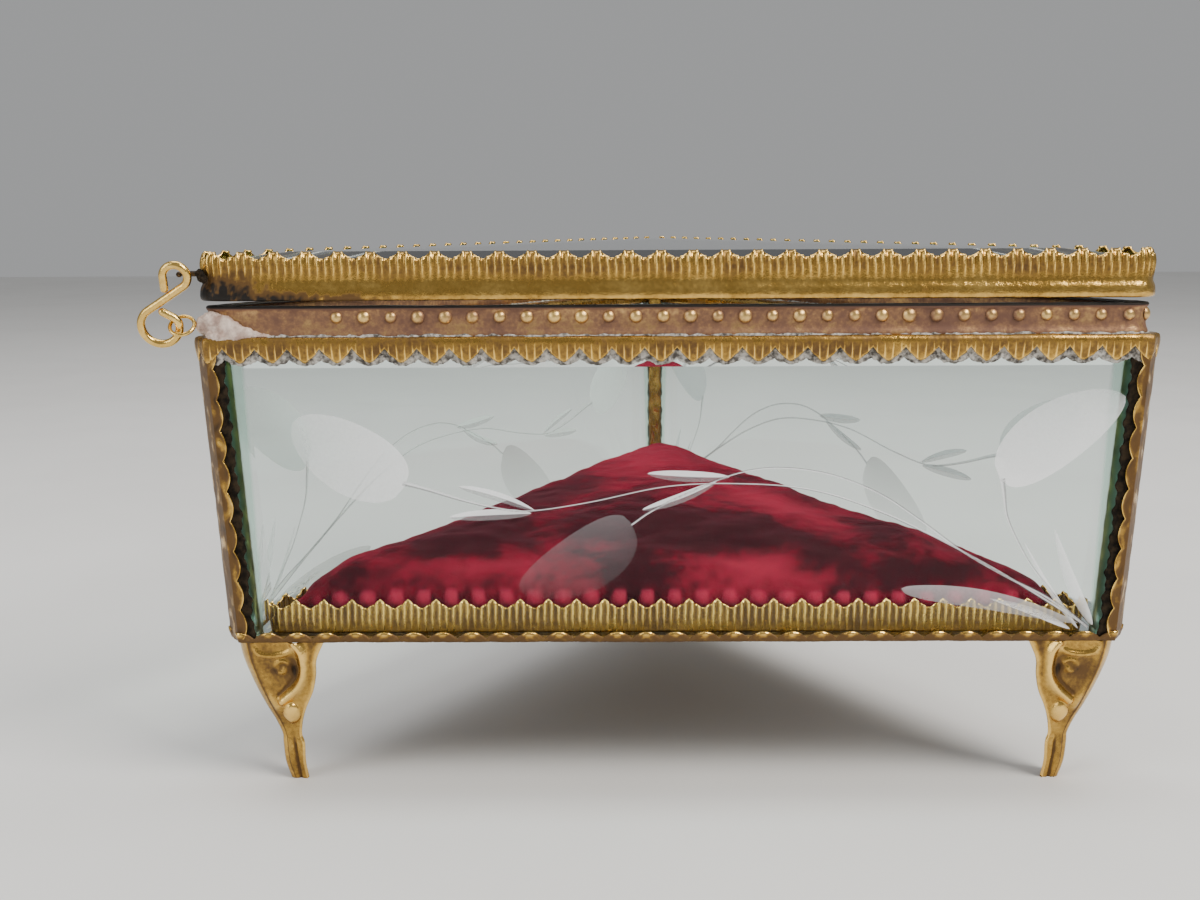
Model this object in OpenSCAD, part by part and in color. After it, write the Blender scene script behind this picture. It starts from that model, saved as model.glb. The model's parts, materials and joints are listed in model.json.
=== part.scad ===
// Glass casket box on three feet. The plan is an equilateral triangle with its front along X:
// bevelled glass panels lean outwards in stamped brass strips, a velvet pad fills the floor,
// the glass lid hinges along the back right side, and a wire S-hook latches the left corner.
// The origin is the middle of the triangle, on the surface that the feet stand on.

/* [Plan] */
// Distance from the middle to the outside of the lid band
lid_r = 45; // [42:0.5:50]
// Corner radius of the lid
lid_corner = 4; // [3:0.5:5]
// How far the top edge of the body stands out past the lid band
body_flare = 0.2; // [0:0.1:0.6]
// How far the panels lean in from top to bottom
panel_lean_in = 1.7; // [0.5:0.1:3]
// Width of the brass strip across each corner
post_w = 4.5; // [3:0.5:6]

/* [Heights] */
// Height of the feet
foot_h = 25.2; // [20:0.2:30]
// Height of the body, from the bottom rail to the top rail
body_h = 49.5; // [40:0.5:60]
// Height of the beaded rim band
rim_h = 5.1; // [3:0.1:8]
// Gap between the rim band and the lid
lid_gap = 0.7; // [0.4:0.1:1]
// Height of the lid band without its teeth
lid_band_h = 6.8; // [5.5:0.1:9]
// Height of the crimped band that stands round the pad
base_band_h = 4.3; // [3:0.1:6]

/* [Glass] */
// Thickness of the side panels
glass_t = 3.2; // [2.6:0.1:4]
// Width of the bevel on the side panels
bevel_w = 4; // [2:0.5:6]
// Depth of the bevel on the side panels
bevel_d = 1.5; // [0.5:0.1:2]
// Thickness of the lid glass
lid_glass_t = 4.8; // [4:0.1:6]
// Width of the bevel on the lid glass
lid_bevel_w = 8; // [4:0.5:12]
// Depth of the bevel on the lid glass
lid_bevel_d = 1.4; // [0.5:0.1:2]

/* [Brass strip] */
// Thickness of the stamped sheet
sheet_t = 0.5; // [0.4:0.1:0.6]
// Thickness of the lid band
lid_band_t = 0.6; // [0.5:0.1:0.8]
// Spacing of the teeth on the lid and the top rail
top_pitch = 5; // [4:0.1:6]
// Spacing of the scallops on the bottom rail and the base band
low_pitch = 4.65; // [4:0.05:6]
// Length of the pointed teeth under the top rail
rail_tooth_h = 2.5; // [1.5:0.1:3]
// Height of the scallops over the lid band
lid_tooth_h = 0.9; // [0.5:0.1:1.5]
// Height of the scallops on the bottom rail and the base band
low_tooth_h = 1; // [0.5:0.1:1.5]

/* [Pad] */
// Distance from the middle to the side of the cushion
cushion_r = 38.2; // [36:0.1:38.3]
// Height of the cushion's crown above its board
cushion_h = 16; // [8:0.5:20]
// Slope of the cushion's top towards the back corner, in degrees
cushion_tilt = 4; // [0:0.5:6]
// Thickness of the cardboard under the cushion
board_t = 1.5; // [1:0.1:2]

/* [Hinge] */
// Radius of the hinge pin
pin_r = 0.6; // [0.5:0.05:0.8]
// Outer radius of the hinge knuckles
knuckle_r = 1.3; // [1.2:0.05:1.5]
// Running clearance round the pin in the lid's knuckles
pin_clearance = 0.05; // [0.02:0.01:0.08]
// Length of the hinge
hinge_len = 40; // [30:1:60]

/* [Latch] */
// Radius of the S-hook's wire
hook_wire = 0.65; // [0.5:0.05:0.7]
// Radius of the hook's lower loop
low_loop = 3; // [2.8:0.1:3.4]
// Radius of the hook's upper loop
top_loop = 1.9; // [1.7:0.1:2.2]
// Height of the upper loop over the eye
hook_rise = 8; // [7:0.1:9]
// Forward lean of the hook when it is off its catch
hook_lean = 16; // [14:1:20]
// Radius of the eye's ring
eye_r = 1.9; // [1.8:0.05:2.2]
// Radius of the eye's wire
eye_wire = 0.3; // [0.25:0.05:0.35]
// Radius of the lid's catch wire
catch_wire = 0.45; // [0.35:0.05:0.5]

/* [Hidden] */

$fn = 48;
arc_steps = 8;
FRONT = 0;
RIGHT = 1;
LEFT = 2;

gilt = "#C79A3E";
pink_brass = "#B5835A";
dull_solder = "#B9AFA6";
glass_tint = "#BFD9CC88";
velvet = "#8E1228";
cardboard = "#8A6B4A";

// Heights of the pieces above the surface
body_z0 = foot_h;
body_z1 = foot_h + body_h;
rim_z1 = body_z1 + rim_h;
lid_z0 = rim_z1 + lid_gap;
lid_z1 = lid_z0 + lid_band_h;
hinge_z = (rim_z1 + lid_z0) / 2;
base_z = body_z0 + sheet_t;
pad_z = base_z + 0.6;

// Distances from the middle to the sides
body_r1 = lid_r + body_flare;
body_r0 = body_r1 - panel_lean_in;
rim_r = lid_r - 0.4;
base_r = body_r0 - sheet_t - glass_t - 0.6;
panel_lean = atan(panel_lean_in / body_h);
post_lean = atan(2 * panel_lean_in / body_h);
post_inset = post_w * cos(30);

// The top rail's skirt, and the glass inside the rails
skirt_h = 1.3;
low_skirt_h = 0.7;
glass_z0 = base_z + 0.1;
glass_z1 = body_z1 - sheet_t - 0.1;
rail_flange = sheet_t + glass_t + 0.8;
bottom_flange = 5.4;
post_lap = 2.6;

// How far a row of teeth stays inside the faces of the strip that it grows from
skin = 0.03;

// Outlines: an equilateral triangle with in-radius r, its first corner towards +Y
function at(d, a) = [d * cos(a), d * sin(a)];
function round_tri(r, c) = [for (k = [0:2]) for (i = [0:arc_steps])
    at(2 * (r - c), 90 + 120 * k) + at(c, 30 + 120 * k + 120 * i / arc_steps)];

module on_side(side) { rotate([0, 0, 120 * side]) children(); }

module rounded_slab(r, c, z0, z1) {
    translate([0, 0, z0]) linear_extrude(z1 - z0) polygon(round_tri(r, c));
}

module rounded_ring(r, c, t, z0, z1) {
    translate([0, 0, z0]) linear_extrude(z1 - z0) difference() {
        polygon(round_tri(r, c));
        polygon(round_tri(r - t, c - min(t, c - 0.2)));
    }
}

// One side's third of a ring with corners cut off to width w, from bisector to bisector
function strip_half(r, w) = let (mid = at(2 * r - w * cos(30), -30)) [mid + at(w / 2, -120), mid];
function strip_third(r, w, t) = let (
        outer = strip_half(r, w),
        inner = strip_half(r - t, max(w - 1.15 * t, 0.3)),
        half = [outer[0], outer[1], inner[1], inner[0]])
    concat(half, [for (i = [3:-1:0]) [-half[i][0], half[i][1]]]);

module side_strip(r, w, t, z0, z1) {
    translate([0, 0, z0]) linear_extrude(z1 - z0) polygon(strip_third(r, w, t));
}

// A row of pointed teeth in the plane of one side, pointing up or down from height z
module tooth_row(r, t, z, pitch, h, half, up) {
    n = floor(2 * half / pitch);
    x0 = -n * pitch / 2;
    rise = up ? h : -h;
    teeth = [for (i = [0:n - 1]) for (p = [[0.04, 0], [0.35, 0.85], [0.5, 1], [0.65, 0.85], [0.96, 0]])
        [x0 + (i + p[0]) * pitch, p[1] * rise]];
    root = -0.2 * rise / h;
    outline = concat(teeth, [[-x0, root], [x0, root]]);
    translate([0, -r + t - skin, z]) rotate([90, 0, 0]) linear_extrude(t - 2 * skin) polygon(outline);
}

// ---- Glass panels -------------------------------------------------------------------------

function panel_r(z) = body_r1 - sheet_t - (glass_z1 - z) * tan(panel_lean);
function panel_half(z) = sqrt(3) * (panel_r(z) - glass_t) - 0.1;

// Outline of a panel in its own plane, its top edge at zero
function panel_outline(inset) = let (
        h = (glass_z1 - glass_z0) / cos(panel_lean),
        top = panel_half(glass_z1) - inset,
        bottom = panel_half(glass_z0) - inset)
    [[-bottom, inset - h], [bottom, inset - h], [top, -inset], [-top, -inset]];

module glass_panel(side) {
    color(glass_tint) on_side(side)
        translate([0, -panel_r(glass_z1), glass_z1]) rotate([panel_lean, 0, 0]) rotate([90, 0, 0])
        hull() {
            translate([0, 0, -glass_t]) linear_extrude(glass_t - bevel_d) polygon(panel_outline(0));
            translate([0, 0, -bevel_d]) linear_extrude(bevel_d) polygon(panel_outline(bevel_w));
        }
}

module front_glass() { glass_panel(FRONT); }
module right_glass() { glass_panel(RIGHT); }
module left_glass() { glass_panel(LEFT); }

// ---- Body frame ---------------------------------------------------------------------------

// A strip across the corner with a lap folded on to the glass at each side
module corner_post(corner) {
    t = sheet_t;
    z0 = body_z0 + low_skirt_h;
    z1 = body_z1 - skirt_h;
    lap = at(post_lap, -60);
    fold = at(t, -150);
    right_side = [[post_w / 2, 0], [post_w / 2, 0] + lap, [post_w / 2, 0] + lap + fold,
        [post_w / 2 - t * tan(30), -t]];
    left_side = [for (i = [3:-1:0]) [-right_side[i][0], right_side[i][1]]];
    reach0 = 2 * (body_r0 + (z0 - body_z0) * tan(panel_lean)) - post_inset;
    color(gilt) on_side(corner)
        translate([0, reach0, z0]) rotate([-post_lean, 0, 0])
        linear_extrude((z1 - z0) / cos(post_lean)) polygon(concat(right_side, left_side));
}

module corner_post_back() { corner_post(0); }
module corner_post_left() { corner_post(1); }
module corner_post_right() { corner_post(2); }

// A channel over the glass: skirt with pointed teeth outside, flange on top, lip inside
module top_rail(side) {
    half = sqrt(3) * body_r1 - post_w - post_lap;
    color(gilt) on_side(side) union() {
        side_strip(body_r1, post_w, sheet_t, body_z1 - skirt_h, body_z1);
        side_strip(body_r1, post_w, rail_flange, body_z1 - sheet_t, body_z1);
        side_strip(body_r1 - rail_flange + sheet_t, 0.8, sheet_t, body_z1 - 2, body_z1);
        tooth_row(body_r1, sheet_t, body_z1 - skirt_h, top_pitch, rail_tooth_h, half, false);
    }
}

module top_rail_front() { top_rail(FRONT); }
module top_rail_right() { top_rail(RIGHT); }
module top_rail_left() { top_rail(LEFT); }

// An angle under the glass: a low skirt with scallops outside and a wide flange below
module bottom_rail(side) {
    half = sqrt(3) * body_r0 - post_w - post_lap;
    color(gilt) on_side(side) union() {
        side_strip(body_r0, post_w, sheet_t, body_z0, body_z0 + low_skirt_h);
        side_strip(body_r0, post_w, bottom_flange, body_z0, body_z0 + sheet_t);
        tooth_row(body_r0, sheet_t, body_z0 + low_skirt_h, low_pitch, low_tooth_h, half, true);
    }
}

module bottom_rail_front() { bottom_rail(FRONT); }
module bottom_rail_right() { bottom_rail(RIGHT); }
module bottom_rail_left() { bottom_rail(LEFT); }

// The beaded strip that stands on the rails and carries the lid
module rim_band() {
    color(pink_brass) rounded_ring(rim_r, lid_corner, sheet_t, body_z1, rim_z1);
}

// ---- Floor and pad ------------------------------------------------------------------------

module base_plate() {
    color(gilt) rounded_slab(base_r, 1, base_z, pad_z);
}

// The crimped strip that stands on the floor round the pad, its scallops upwards
module base_band() {
    r = base_r - 0.1;
    half = sqrt(3) * r - 6;
    color(gilt) union() {
        rounded_ring(r, 1.5, sheet_t, pad_z, pad_z + base_band_h);
        for (side = [FRONT, RIGHT, LEFT]) on_side(side)
            tooth_row(r, sheet_t, pad_z + base_band_h, low_pitch, low_tooth_h, half, true);
    }
}

module pad_board() {
    color(cardboard) rounded_slab(cushion_r + 0.1, 1.5, pad_z, pad_z + board_t);
}

// The cushion's sloping top, drawn in from its sides by inset and lowered by drop
module cushion_top(inset, drop) {
    rise = (3 * cushion_r - 15) * sin(cushion_tilt);
    translate([0, -cushion_r, pad_z + board_t + cushion_h - rise - drop])
        rotate([cushion_tilt, 0, 0]) translate([0, cushion_r, 0])
        rounded_slab(cushion_r - inset, 8, -0.5, 0);
}

// A puffed triangular cushion, higher towards the back corner
module cushion() {
    z = pad_z + board_t;
    color(velvet) hull() {
        rounded_slab(cushion_r, 4, z, z + 0.23 * cushion_h);
        cushion_top(2, 2);
        cushion_top(4.5, 0);
    }
}

// ---- Feet ---------------------------------------------------------------------------------

// A folded sheet leg, cut by levels: height, distance out, width of the fold, width of a wing
LEG_LEVELS = [
    [25.2, 81.9, 4.0, 12.7], [22, 81.3, 4.0, 10.8], [19, 80.3, 3.6, 9.7], [16, 79.1, 3.2, 8.1],
    [13, 77.7, 2.4, 5.6], [10.5, 76.4, 1.9, 3.7], [8, 75.3, 1.5, 2.4], [6.3, 75.3, 1.6, 2.8],
    [3, 75.0, 1.7, 2.5], [0, 74.1, 1.7, 2.0]];
leg_t = 0.8;

function leg_ring(level) = let (
        z = level[0] * foot_h / 25.2,
        d = level[1] * body_r0 / 43.5,
        c = level[2] / 2,
        lap = at(level[3], -60),
        fold = at(leg_t, -150),
        outer = [c, d],
        half = [outer, outer + lap, outer + lap + fold, [c - leg_t * tan(30), d - leg_t]])
    concat([for (p = half) [p[0], p[1], z]], [for (i = [3:-1:0]) [-half[i][0], half[i][1], z]]);

module leg(corner) {
    rings = [for (level = LEG_LEVELS) leg_ring(level)];
    points = [for (ring = rings) for (p = ring) p];
    last = len(rings) - 1;
    walls = [for (i = [0:last - 1]) for (j = [0:7]) for (half = [0, 1])
        let (a = 8 * i + j, b = 8 * i + (j + 1) % 8) half == 0 ? [a, b + 8, b] : [a, a + 8, b + 8]];
    caps = [[for (j = [0:7]) j], [for (j = [7:-1:0]) 8 * last + j]];
    color(gilt) on_side(corner) polyhedron(points, concat(walls, caps));
}

module leg_back() { leg(0); }
module leg_left() { leg(1); }
module leg_right() { leg(2); }

// ---- Lid ----------------------------------------------------------------------------------

ledge_z1 = lid_z0 + 2.7;

module lid_glass() {
    edge_r = lid_r - lid_band_t - 0.1;
    z1 = ledge_z1 + lid_glass_t;
    color(glass_tint) hull() {
        rounded_slab(edge_r, lid_corner - 0.7, ledge_z1, z1 - lid_bevel_d);
        rounded_slab(edge_r - lid_bevel_w, 1, ledge_z1, z1);
    }
}

// The crimped strip round the lid glass, scallops upwards and a turned-in lower edge
module lid_band() {
    half = sqrt(3) * (lid_r - lid_corner);
    color(gilt) union() {
        rounded_ring(lid_r, lid_corner, lid_band_t, lid_z0, lid_z1);
        rounded_ring(lid_r, lid_corner, 1.3, lid_z0, lid_z0 + lid_band_t);
        for (side = [FRONT, RIGHT, LEFT]) on_side(side)
            tooth_row(lid_r, lid_band_t, lid_z1, top_pitch, lid_tooth_h, half, true);
    }
}

// The angle strip inside the band that the lid glass rests on
module lid_ledge() {
    r = lid_r - lid_band_t;
    color(gilt) union() {
        rounded_ring(r, lid_corner - lid_band_t, sheet_t, lid_z0 + lid_band_t, ledge_z1);
        rounded_ring(r, lid_corner - lid_band_t, 2.4, ledge_z1 - sheet_t, ledge_z1);
    }
}

// ---- Hinge --------------------------------------------------------------------------------

hinge_r = lid_r + knuckle_r + 0.6;
knuckle_count = 5;
knuckle_gap = 0.3;
knuckle_len = (hinge_len - knuckle_gap * (knuckle_count - 1)) / knuckle_count;
web_t = 0.5;

// Every second knuckle from the first, each with the web that joins it to its leaf
module knuckles(first, bore_r, leaf_r, up) {
    web_z = up ? knuckle_r - web_t : -knuckle_r;
    translate([-hinge_len / 2, -hinge_r, hinge_z]) difference() {
        for (i = [first:2:knuckle_count - 1]) translate([i * (knuckle_len + knuckle_gap), 0, 0]) {
            rotate([0, 90, 0]) cylinder(r = knuckle_r, h = knuckle_len);
            translate([0, 0, web_z]) cube([knuckle_len, hinge_r - leaf_r + 0.1, web_t]);
        }
        translate([-1, 0, 0]) rotate([0, 90, 0]) cylinder(r = bore_r, h = hinge_len + 2);
    }
}

module hinge_body_leaf() {
    z1 = hinge_z - knuckle_r + web_t;
    color(gilt) on_side(RIGHT) union() {
        knuckles(0, pin_r, rim_r + sheet_t, false);
        translate([-hinge_len / 2, -rim_r - sheet_t, body_z1 + 0.7])
            cube([hinge_len, sheet_t, z1 - body_z1 - 0.7]);
    }
}

module hinge_lid_leaf() {
    z0 = hinge_z + knuckle_r - web_t;
    color(gilt) on_side(RIGHT) union() {
        knuckles(1, pin_r + pin_clearance, lid_r + sheet_t, true);
        translate([-hinge_len / 2, -lid_r - sheet_t, z0]) cube([hinge_len, sheet_t, 4]);
    }
}

module hinge_pin() {
    head_r = 1;
    head_h = 0.4;
    color(gilt) on_side(RIGHT) translate([-hinge_len / 2, -hinge_r, hinge_z]) rotate([0, 90, 0]) union() {
        cylinder(r = pin_r, h = hinge_len);
        translate([0, 0, -head_h]) cylinder(r = head_r, h = head_h);
        translate([0, 0, hinge_len]) cylinder(r = head_r, h = head_h);
    }
}

// ---- Latch --------------------------------------------------------------------------------

// Where the hook's wire runs through the eye, just off the left corner
hook_at = [-77.7, -44.3, 76.8] * lid_r / 45;
eye_offset = 0.4;
eye_tilt = 45;
corner_tip = at(2 * rim_r - lid_corner, 210);

// The hook lies in its own XY plane, with the link at the origin and +Y up the hook
low_c = [-low_loop, 0];
bend_r = 1.6;
bend_c = [-bend_r, 0];
bend_end = 60;
tail_len = 1.8;
top_c = [0.3, hook_rise];
tip_len = 1.9;
wire_sides = 12;
loop_gap = norm(top_c - low_c);
shank_a = atan2(top_c[1] - low_c[1], top_c[0] - low_c[0]) - asin((low_loop + top_loop) / loop_gap);

function arc_pts(c, r, a0, a1, n) = [for (i = [0:n]) c + at(r, a0 + (a1 - a0) * i / n)];

// The wire's middle line: tail, tight bend at the eye, lower loop, shank, upper loop, tip
bend_top = bend_c + at(bend_r, bend_end);
top_left = top_c - [top_loop, 0];
hook_line = concat(
    [bend_top + at(tail_len, bend_end + 90)],
    arc_pts(bend_c, bend_r, bend_end, 0, 5),
    [for (i = [1:18]) low_c + at(low_loop, -(270 - shank_a) * i / 18)],
    arc_pts(top_c, top_loop, shank_a - 90, 180, 16),
    [top_left - [0, tip_len]]);

// Rings round the middle line, shrunk and pushed out at both ends to round the wire off
function line_dir(p, i) = let (d = p[min(i + 1, len(p) - 1)] - p[max(i - 1, 0)]) d / norm(d);
function wire_ring(p, d, r) = [for (j = [0:wire_sides - 1]) let (a = 360 * j / wire_sides)
    [p[0] - d[1] * r * cos(a), p[1] + d[0] * r * cos(a), r * sin(a)]];

module swept_wire(line, r) {
    last = len(line) - 1;
    d0 = line_dir(line, 0);
    d1 = line_dir(line, last);
    rings = concat(
        [for (k = [80, 40]) wire_ring(line[0] - d0 * r * sin(k), d0, r * cos(k))],
        [for (i = [0:last]) wire_ring(line[i], line_dir(line, i), r)],
        [for (k = [40, 80]) wire_ring(line[last] + d1 * r * sin(k), d1, r * cos(k))]);
    n = wire_sides;
    end = len(rings) - 1;
    walls = [for (i = [0:end - 1]) for (j = [0:n - 1]) for (half = [0, 1])
        let (a = n * i + j, b = n * i + (j + 1) % n) half == 0 ? [a, b, b + n] : [a, b + n, a + n]];
    caps = [[for (j = [n - 1:-1:0]) j], [for (j = [0:n - 1]) n * end + j]];
    polyhedron([for (ring = rings) for (q = ring) q], concat(walls, caps));
}

module latch_hook() {
    color(gilt) translate(hook_at) rotate([hook_lean, 0, 0]) rotate([90, 0, 0])
        swept_wire(hook_line, hook_wire);
}

// A tilted ring on a short stem, held by a lump of solder on the corner of the rim band
stem_from = hook_at + [eye_offset + eye_r + 0.1, 0, 0];
stem_run = corner_tip - [stem_from[0], stem_from[1]];

module eye_stem(extra) {
    translate(stem_from) rotate([0, 0, atan2(stem_run[1], stem_run[0])]) rotate([0, 90, 0])
        cylinder(r = 2 * eye_wire, h = norm(stem_run) + extra);
}

module latch_eye() {
    color(gilt) union() {
        translate(hook_at + [eye_offset, 0, 0]) rotate([eye_tilt, 0, 0])
            rotate_extrude() translate([eye_r, 0]) circle(eye_wire);
        eye_stem(-0.1);
    }
}

module latch_solder() {
    color(dull_solder) difference() {
        translate([corner_tip[0] + 0.2, corner_tip[1] - 0.1, hook_at[2] - 0.1]) sphere(1.7);
        rounded_slab(rim_r, lid_corner, body_z1 - 5, rim_z1 + 5);
        eye_stem(1);
    }
}

// A wire that stands out of the lid's corner and turns forwards through the hook's loop
module lid_catch() {
    peg = [hook_at[0] + top_c[0] + 0.35, hook_at[1] - 1.2, hook_at[2] + hook_rise];
    stub_y = -42.5 * lid_r / 45;
    stub_x = -74 * lid_r / 45;
    color(gilt) difference() {
        union() {
            translate([peg[0], stub_y, peg[2]]) rotate([0, 90, 0])
                cylinder(r = catch_wire, h = stub_x - peg[0]);
            translate([peg[0], stub_y, peg[2]]) sphere(catch_wire);
            translate([peg[0], stub_y, peg[2]]) rotate([90, 0, 0])
                cylinder(r = catch_wire, h = stub_y - peg[1]);
            translate(peg) sphere(catch_wire);
        }
        rounded_slab(lid_r, lid_corner, lid_z0 - 1, lid_z1 + 1);
    }
}

front_glass();
right_glass();
left_glass();
corner_post_back();
corner_post_left();
corner_post_right();
top_rail_front();
top_rail_right();
top_rail_left();
bottom_rail_front();
bottom_rail_right();
bottom_rail_left();
rim_band();
base_plate();
base_band();
pad_board();
cushion();
leg_back();
leg_left();
leg_right();
hinge_body_leaf();
hinge_pin();
latch_eye();
latch_solder();
lid_glass();
lid_band();
lid_ledge();
hinge_lid_leaf();
lid_catch();
latch_hook();
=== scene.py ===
# %% [markdown]
# # A three-sided glass casket
# The real box is a bright metalworker's trick: thin brass sheet is crimped between rollers, cut
# into strips, and folded round bevelled glass. The measured frame comes first, and every size
# below is read from it, so that nothing drifts away from the pieces that carry it.

# %% Load the frame
import json
import math

import bmesh
import bpy
import numpy as np
from mathutils import Matrix, Vector, noise


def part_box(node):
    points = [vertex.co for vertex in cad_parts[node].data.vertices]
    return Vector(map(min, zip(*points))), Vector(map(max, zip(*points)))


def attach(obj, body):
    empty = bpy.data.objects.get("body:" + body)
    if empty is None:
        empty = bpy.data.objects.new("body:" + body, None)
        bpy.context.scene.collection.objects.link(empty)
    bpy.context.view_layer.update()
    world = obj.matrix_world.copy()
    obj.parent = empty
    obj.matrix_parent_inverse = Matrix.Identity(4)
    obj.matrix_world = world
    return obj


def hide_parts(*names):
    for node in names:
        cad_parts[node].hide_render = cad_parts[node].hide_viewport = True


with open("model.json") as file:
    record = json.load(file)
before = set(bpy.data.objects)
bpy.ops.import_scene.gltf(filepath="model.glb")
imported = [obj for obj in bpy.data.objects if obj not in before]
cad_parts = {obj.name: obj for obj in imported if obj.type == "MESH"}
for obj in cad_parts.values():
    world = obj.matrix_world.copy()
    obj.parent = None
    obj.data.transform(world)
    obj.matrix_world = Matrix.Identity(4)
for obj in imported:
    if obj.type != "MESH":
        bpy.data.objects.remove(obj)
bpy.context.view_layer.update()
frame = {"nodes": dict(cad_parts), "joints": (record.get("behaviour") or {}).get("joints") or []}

MM = 0.001
COS30 = math.cos(math.radians(30))
SIDES = ("front", "right", "left")
CORNERS = ("back", "left", "right")
print("CAD nodes:", len(frame["nodes"]))

# %% [markdown]
# Each height and distance is measured on a node's box. A triangle's in-radius is how far its
# front side lies from the middle, which is the box's lowest Y.

# %% Sizes from the frame
rail_lo, rail_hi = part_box("top_rail_front")
lid_lo, rim_lo, low_lo, band_lo, pad_lo = (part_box(name)[0] for name in (
    "lid_band", "rim_band", "bottom_rail_front", "base_band", "cushion"))
glass_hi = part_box("front_glass")[1]

lid_r = -lid_lo.y
rim_r = -rim_lo.y
body_r1 = -rail_lo.y
body_r0 = -low_lo.y
band_r = -band_lo.y
corner_r = 4 * MM
post_w = 4.5 * MM
glass_t = 3.2 * MM
panel_lean = math.atan2(body_r1 - body_r0, rail_hi.z - low_lo.z)
print(f"lid {lid_r * 1000:.1f} mm from the middle, body {body_r0 * 1000:.1f} to {body_r1 * 1000:.1f} mm")

# %% [markdown]
# The camera stands a little above the lid and looks down by nine degrees. A pale floor and big
# soft lamps suit brass: metal shows whatever is round it, so wide lamps draw long calm
# highlights along each crimp, and the grey world between them keeps the hollows dark.

# %% Camera, floor and light
CAM_AT = Vector((-9.96, -276.2, 94.06)) * MM
CAM_DOWN = 0.1589
CAM_YAW = 0.0092
CAM_ROLL = -0.005
CAM_LENS = 44.6
LAMPS_AIM = Vector((0, 0, 50)) * MM
FLOOR_HALF = 2.0


def add(name, data):
    """A new object in the scene that shows that data."""
    obj = bpy.data.objects.new(name, data)
    bpy.context.collection.objects.link(obj)
    return obj


def add_camera():
    data = bpy.data.cameras.new("camera")
    data.sensor_width = 36
    data.lens = CAM_LENS
    data.clip_start = 0.01
    camera = add("camera", data)
    turn = Matrix.Rotation(CAM_YAW, 4, "Z") @ Matrix.Rotation(math.pi / 2 - CAM_DOWN, 4, "X")
    camera.matrix_world = Matrix.Translation(CAM_AT) @ turn @ Matrix.Rotation(CAM_ROLL, 4, "Z")
    bpy.context.scene.camera = camera


def add_softbox(name, at, size, power, colour):
    data = bpy.data.lights.new(name, "AREA")
    data.shape = "RECTANGLE"
    data.size, data.size_y = size
    data.energy = power
    data.color = colour
    lamp = add(name, data)
    lamp.location = at
    lamp.rotation_euler = (LAMPS_AIM - Vector(at)).to_track_quat("-Z", "Y").to_euler()


def add_floor():
    mesh = bpy.data.meshes.new("floor")
    corners = [(x * FLOOR_HALF, y * FLOOR_HALF, 0) for x, y in ((-1, -1), (1, -1), (1, 1), (-1, 1))]
    mesh.from_pydata(corners, [], [(0, 1, 2, 3)])
    made = add("floor", mesh)
    return made


add_camera()
add_softbox("key", (0.55, -0.45, 0.75), (0.45, 0.45), 10.5, (1.0, 0.96, 0.9))
add_softbox("fill", (-0.7, -0.5, 0.4), (0.5, 0.7), 3.2, (0.92, 0.96, 1.0))
add_softbox("top", (0.0, 0.15, 0.9), (0.9, 0.5), 5.5, (1.0, 1.0, 1.0))
floor = add_floor()
world = bpy.data.worlds.new("studio")
world.use_nodes = True
backdrop = world.node_tree.nodes["Background"].inputs
backdrop["Color"].default_value = (0.86, 0.87, 0.88, 1)
backdrop["Strength"].default_value = 0.42
bpy.context.scene.world = world

# %% [markdown]
# Materials and Geometry Nodes are both nets of small sums. Wired one node at a time they are
# hard to read, so they are written here as formulas: `a * b + 1` adds the two Math nodes and
# their links. A term stands for one socket and knows which node each sign asks for.

# %% Terms of a formula
class Term:
    """One output socket, which can be added, multiplied, divided and raised to a power."""

    def __init__(self, net, socket):
        self.net, self.socket = net, socket

    def __add__(self, other):
        return self.net.math("ADD", self, other)

    __radd__ = __add__

    def __mul__(self, other):
        return self.net.math("MULTIPLY", self, other)

    __rmul__ = __mul__

    def __sub__(self, other):
        return self.net.math("SUBTRACT", self, other)

    def __rsub__(self, other):
        return self.net.math("SUBTRACT", other, self)

    def __truediv__(self, other):
        return self.net.math("DIVIDE", self, other)

    def __pow__(self, other):
        return self.net.math("POWER", self, other)

# %% [markdown]
# The net adds the nodes. Most of its words are one node each, in a form that is short to write.
# The last few are for Geometry Nodes: they keep a value on each point, and find a place on a
# curve or beside it.

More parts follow.
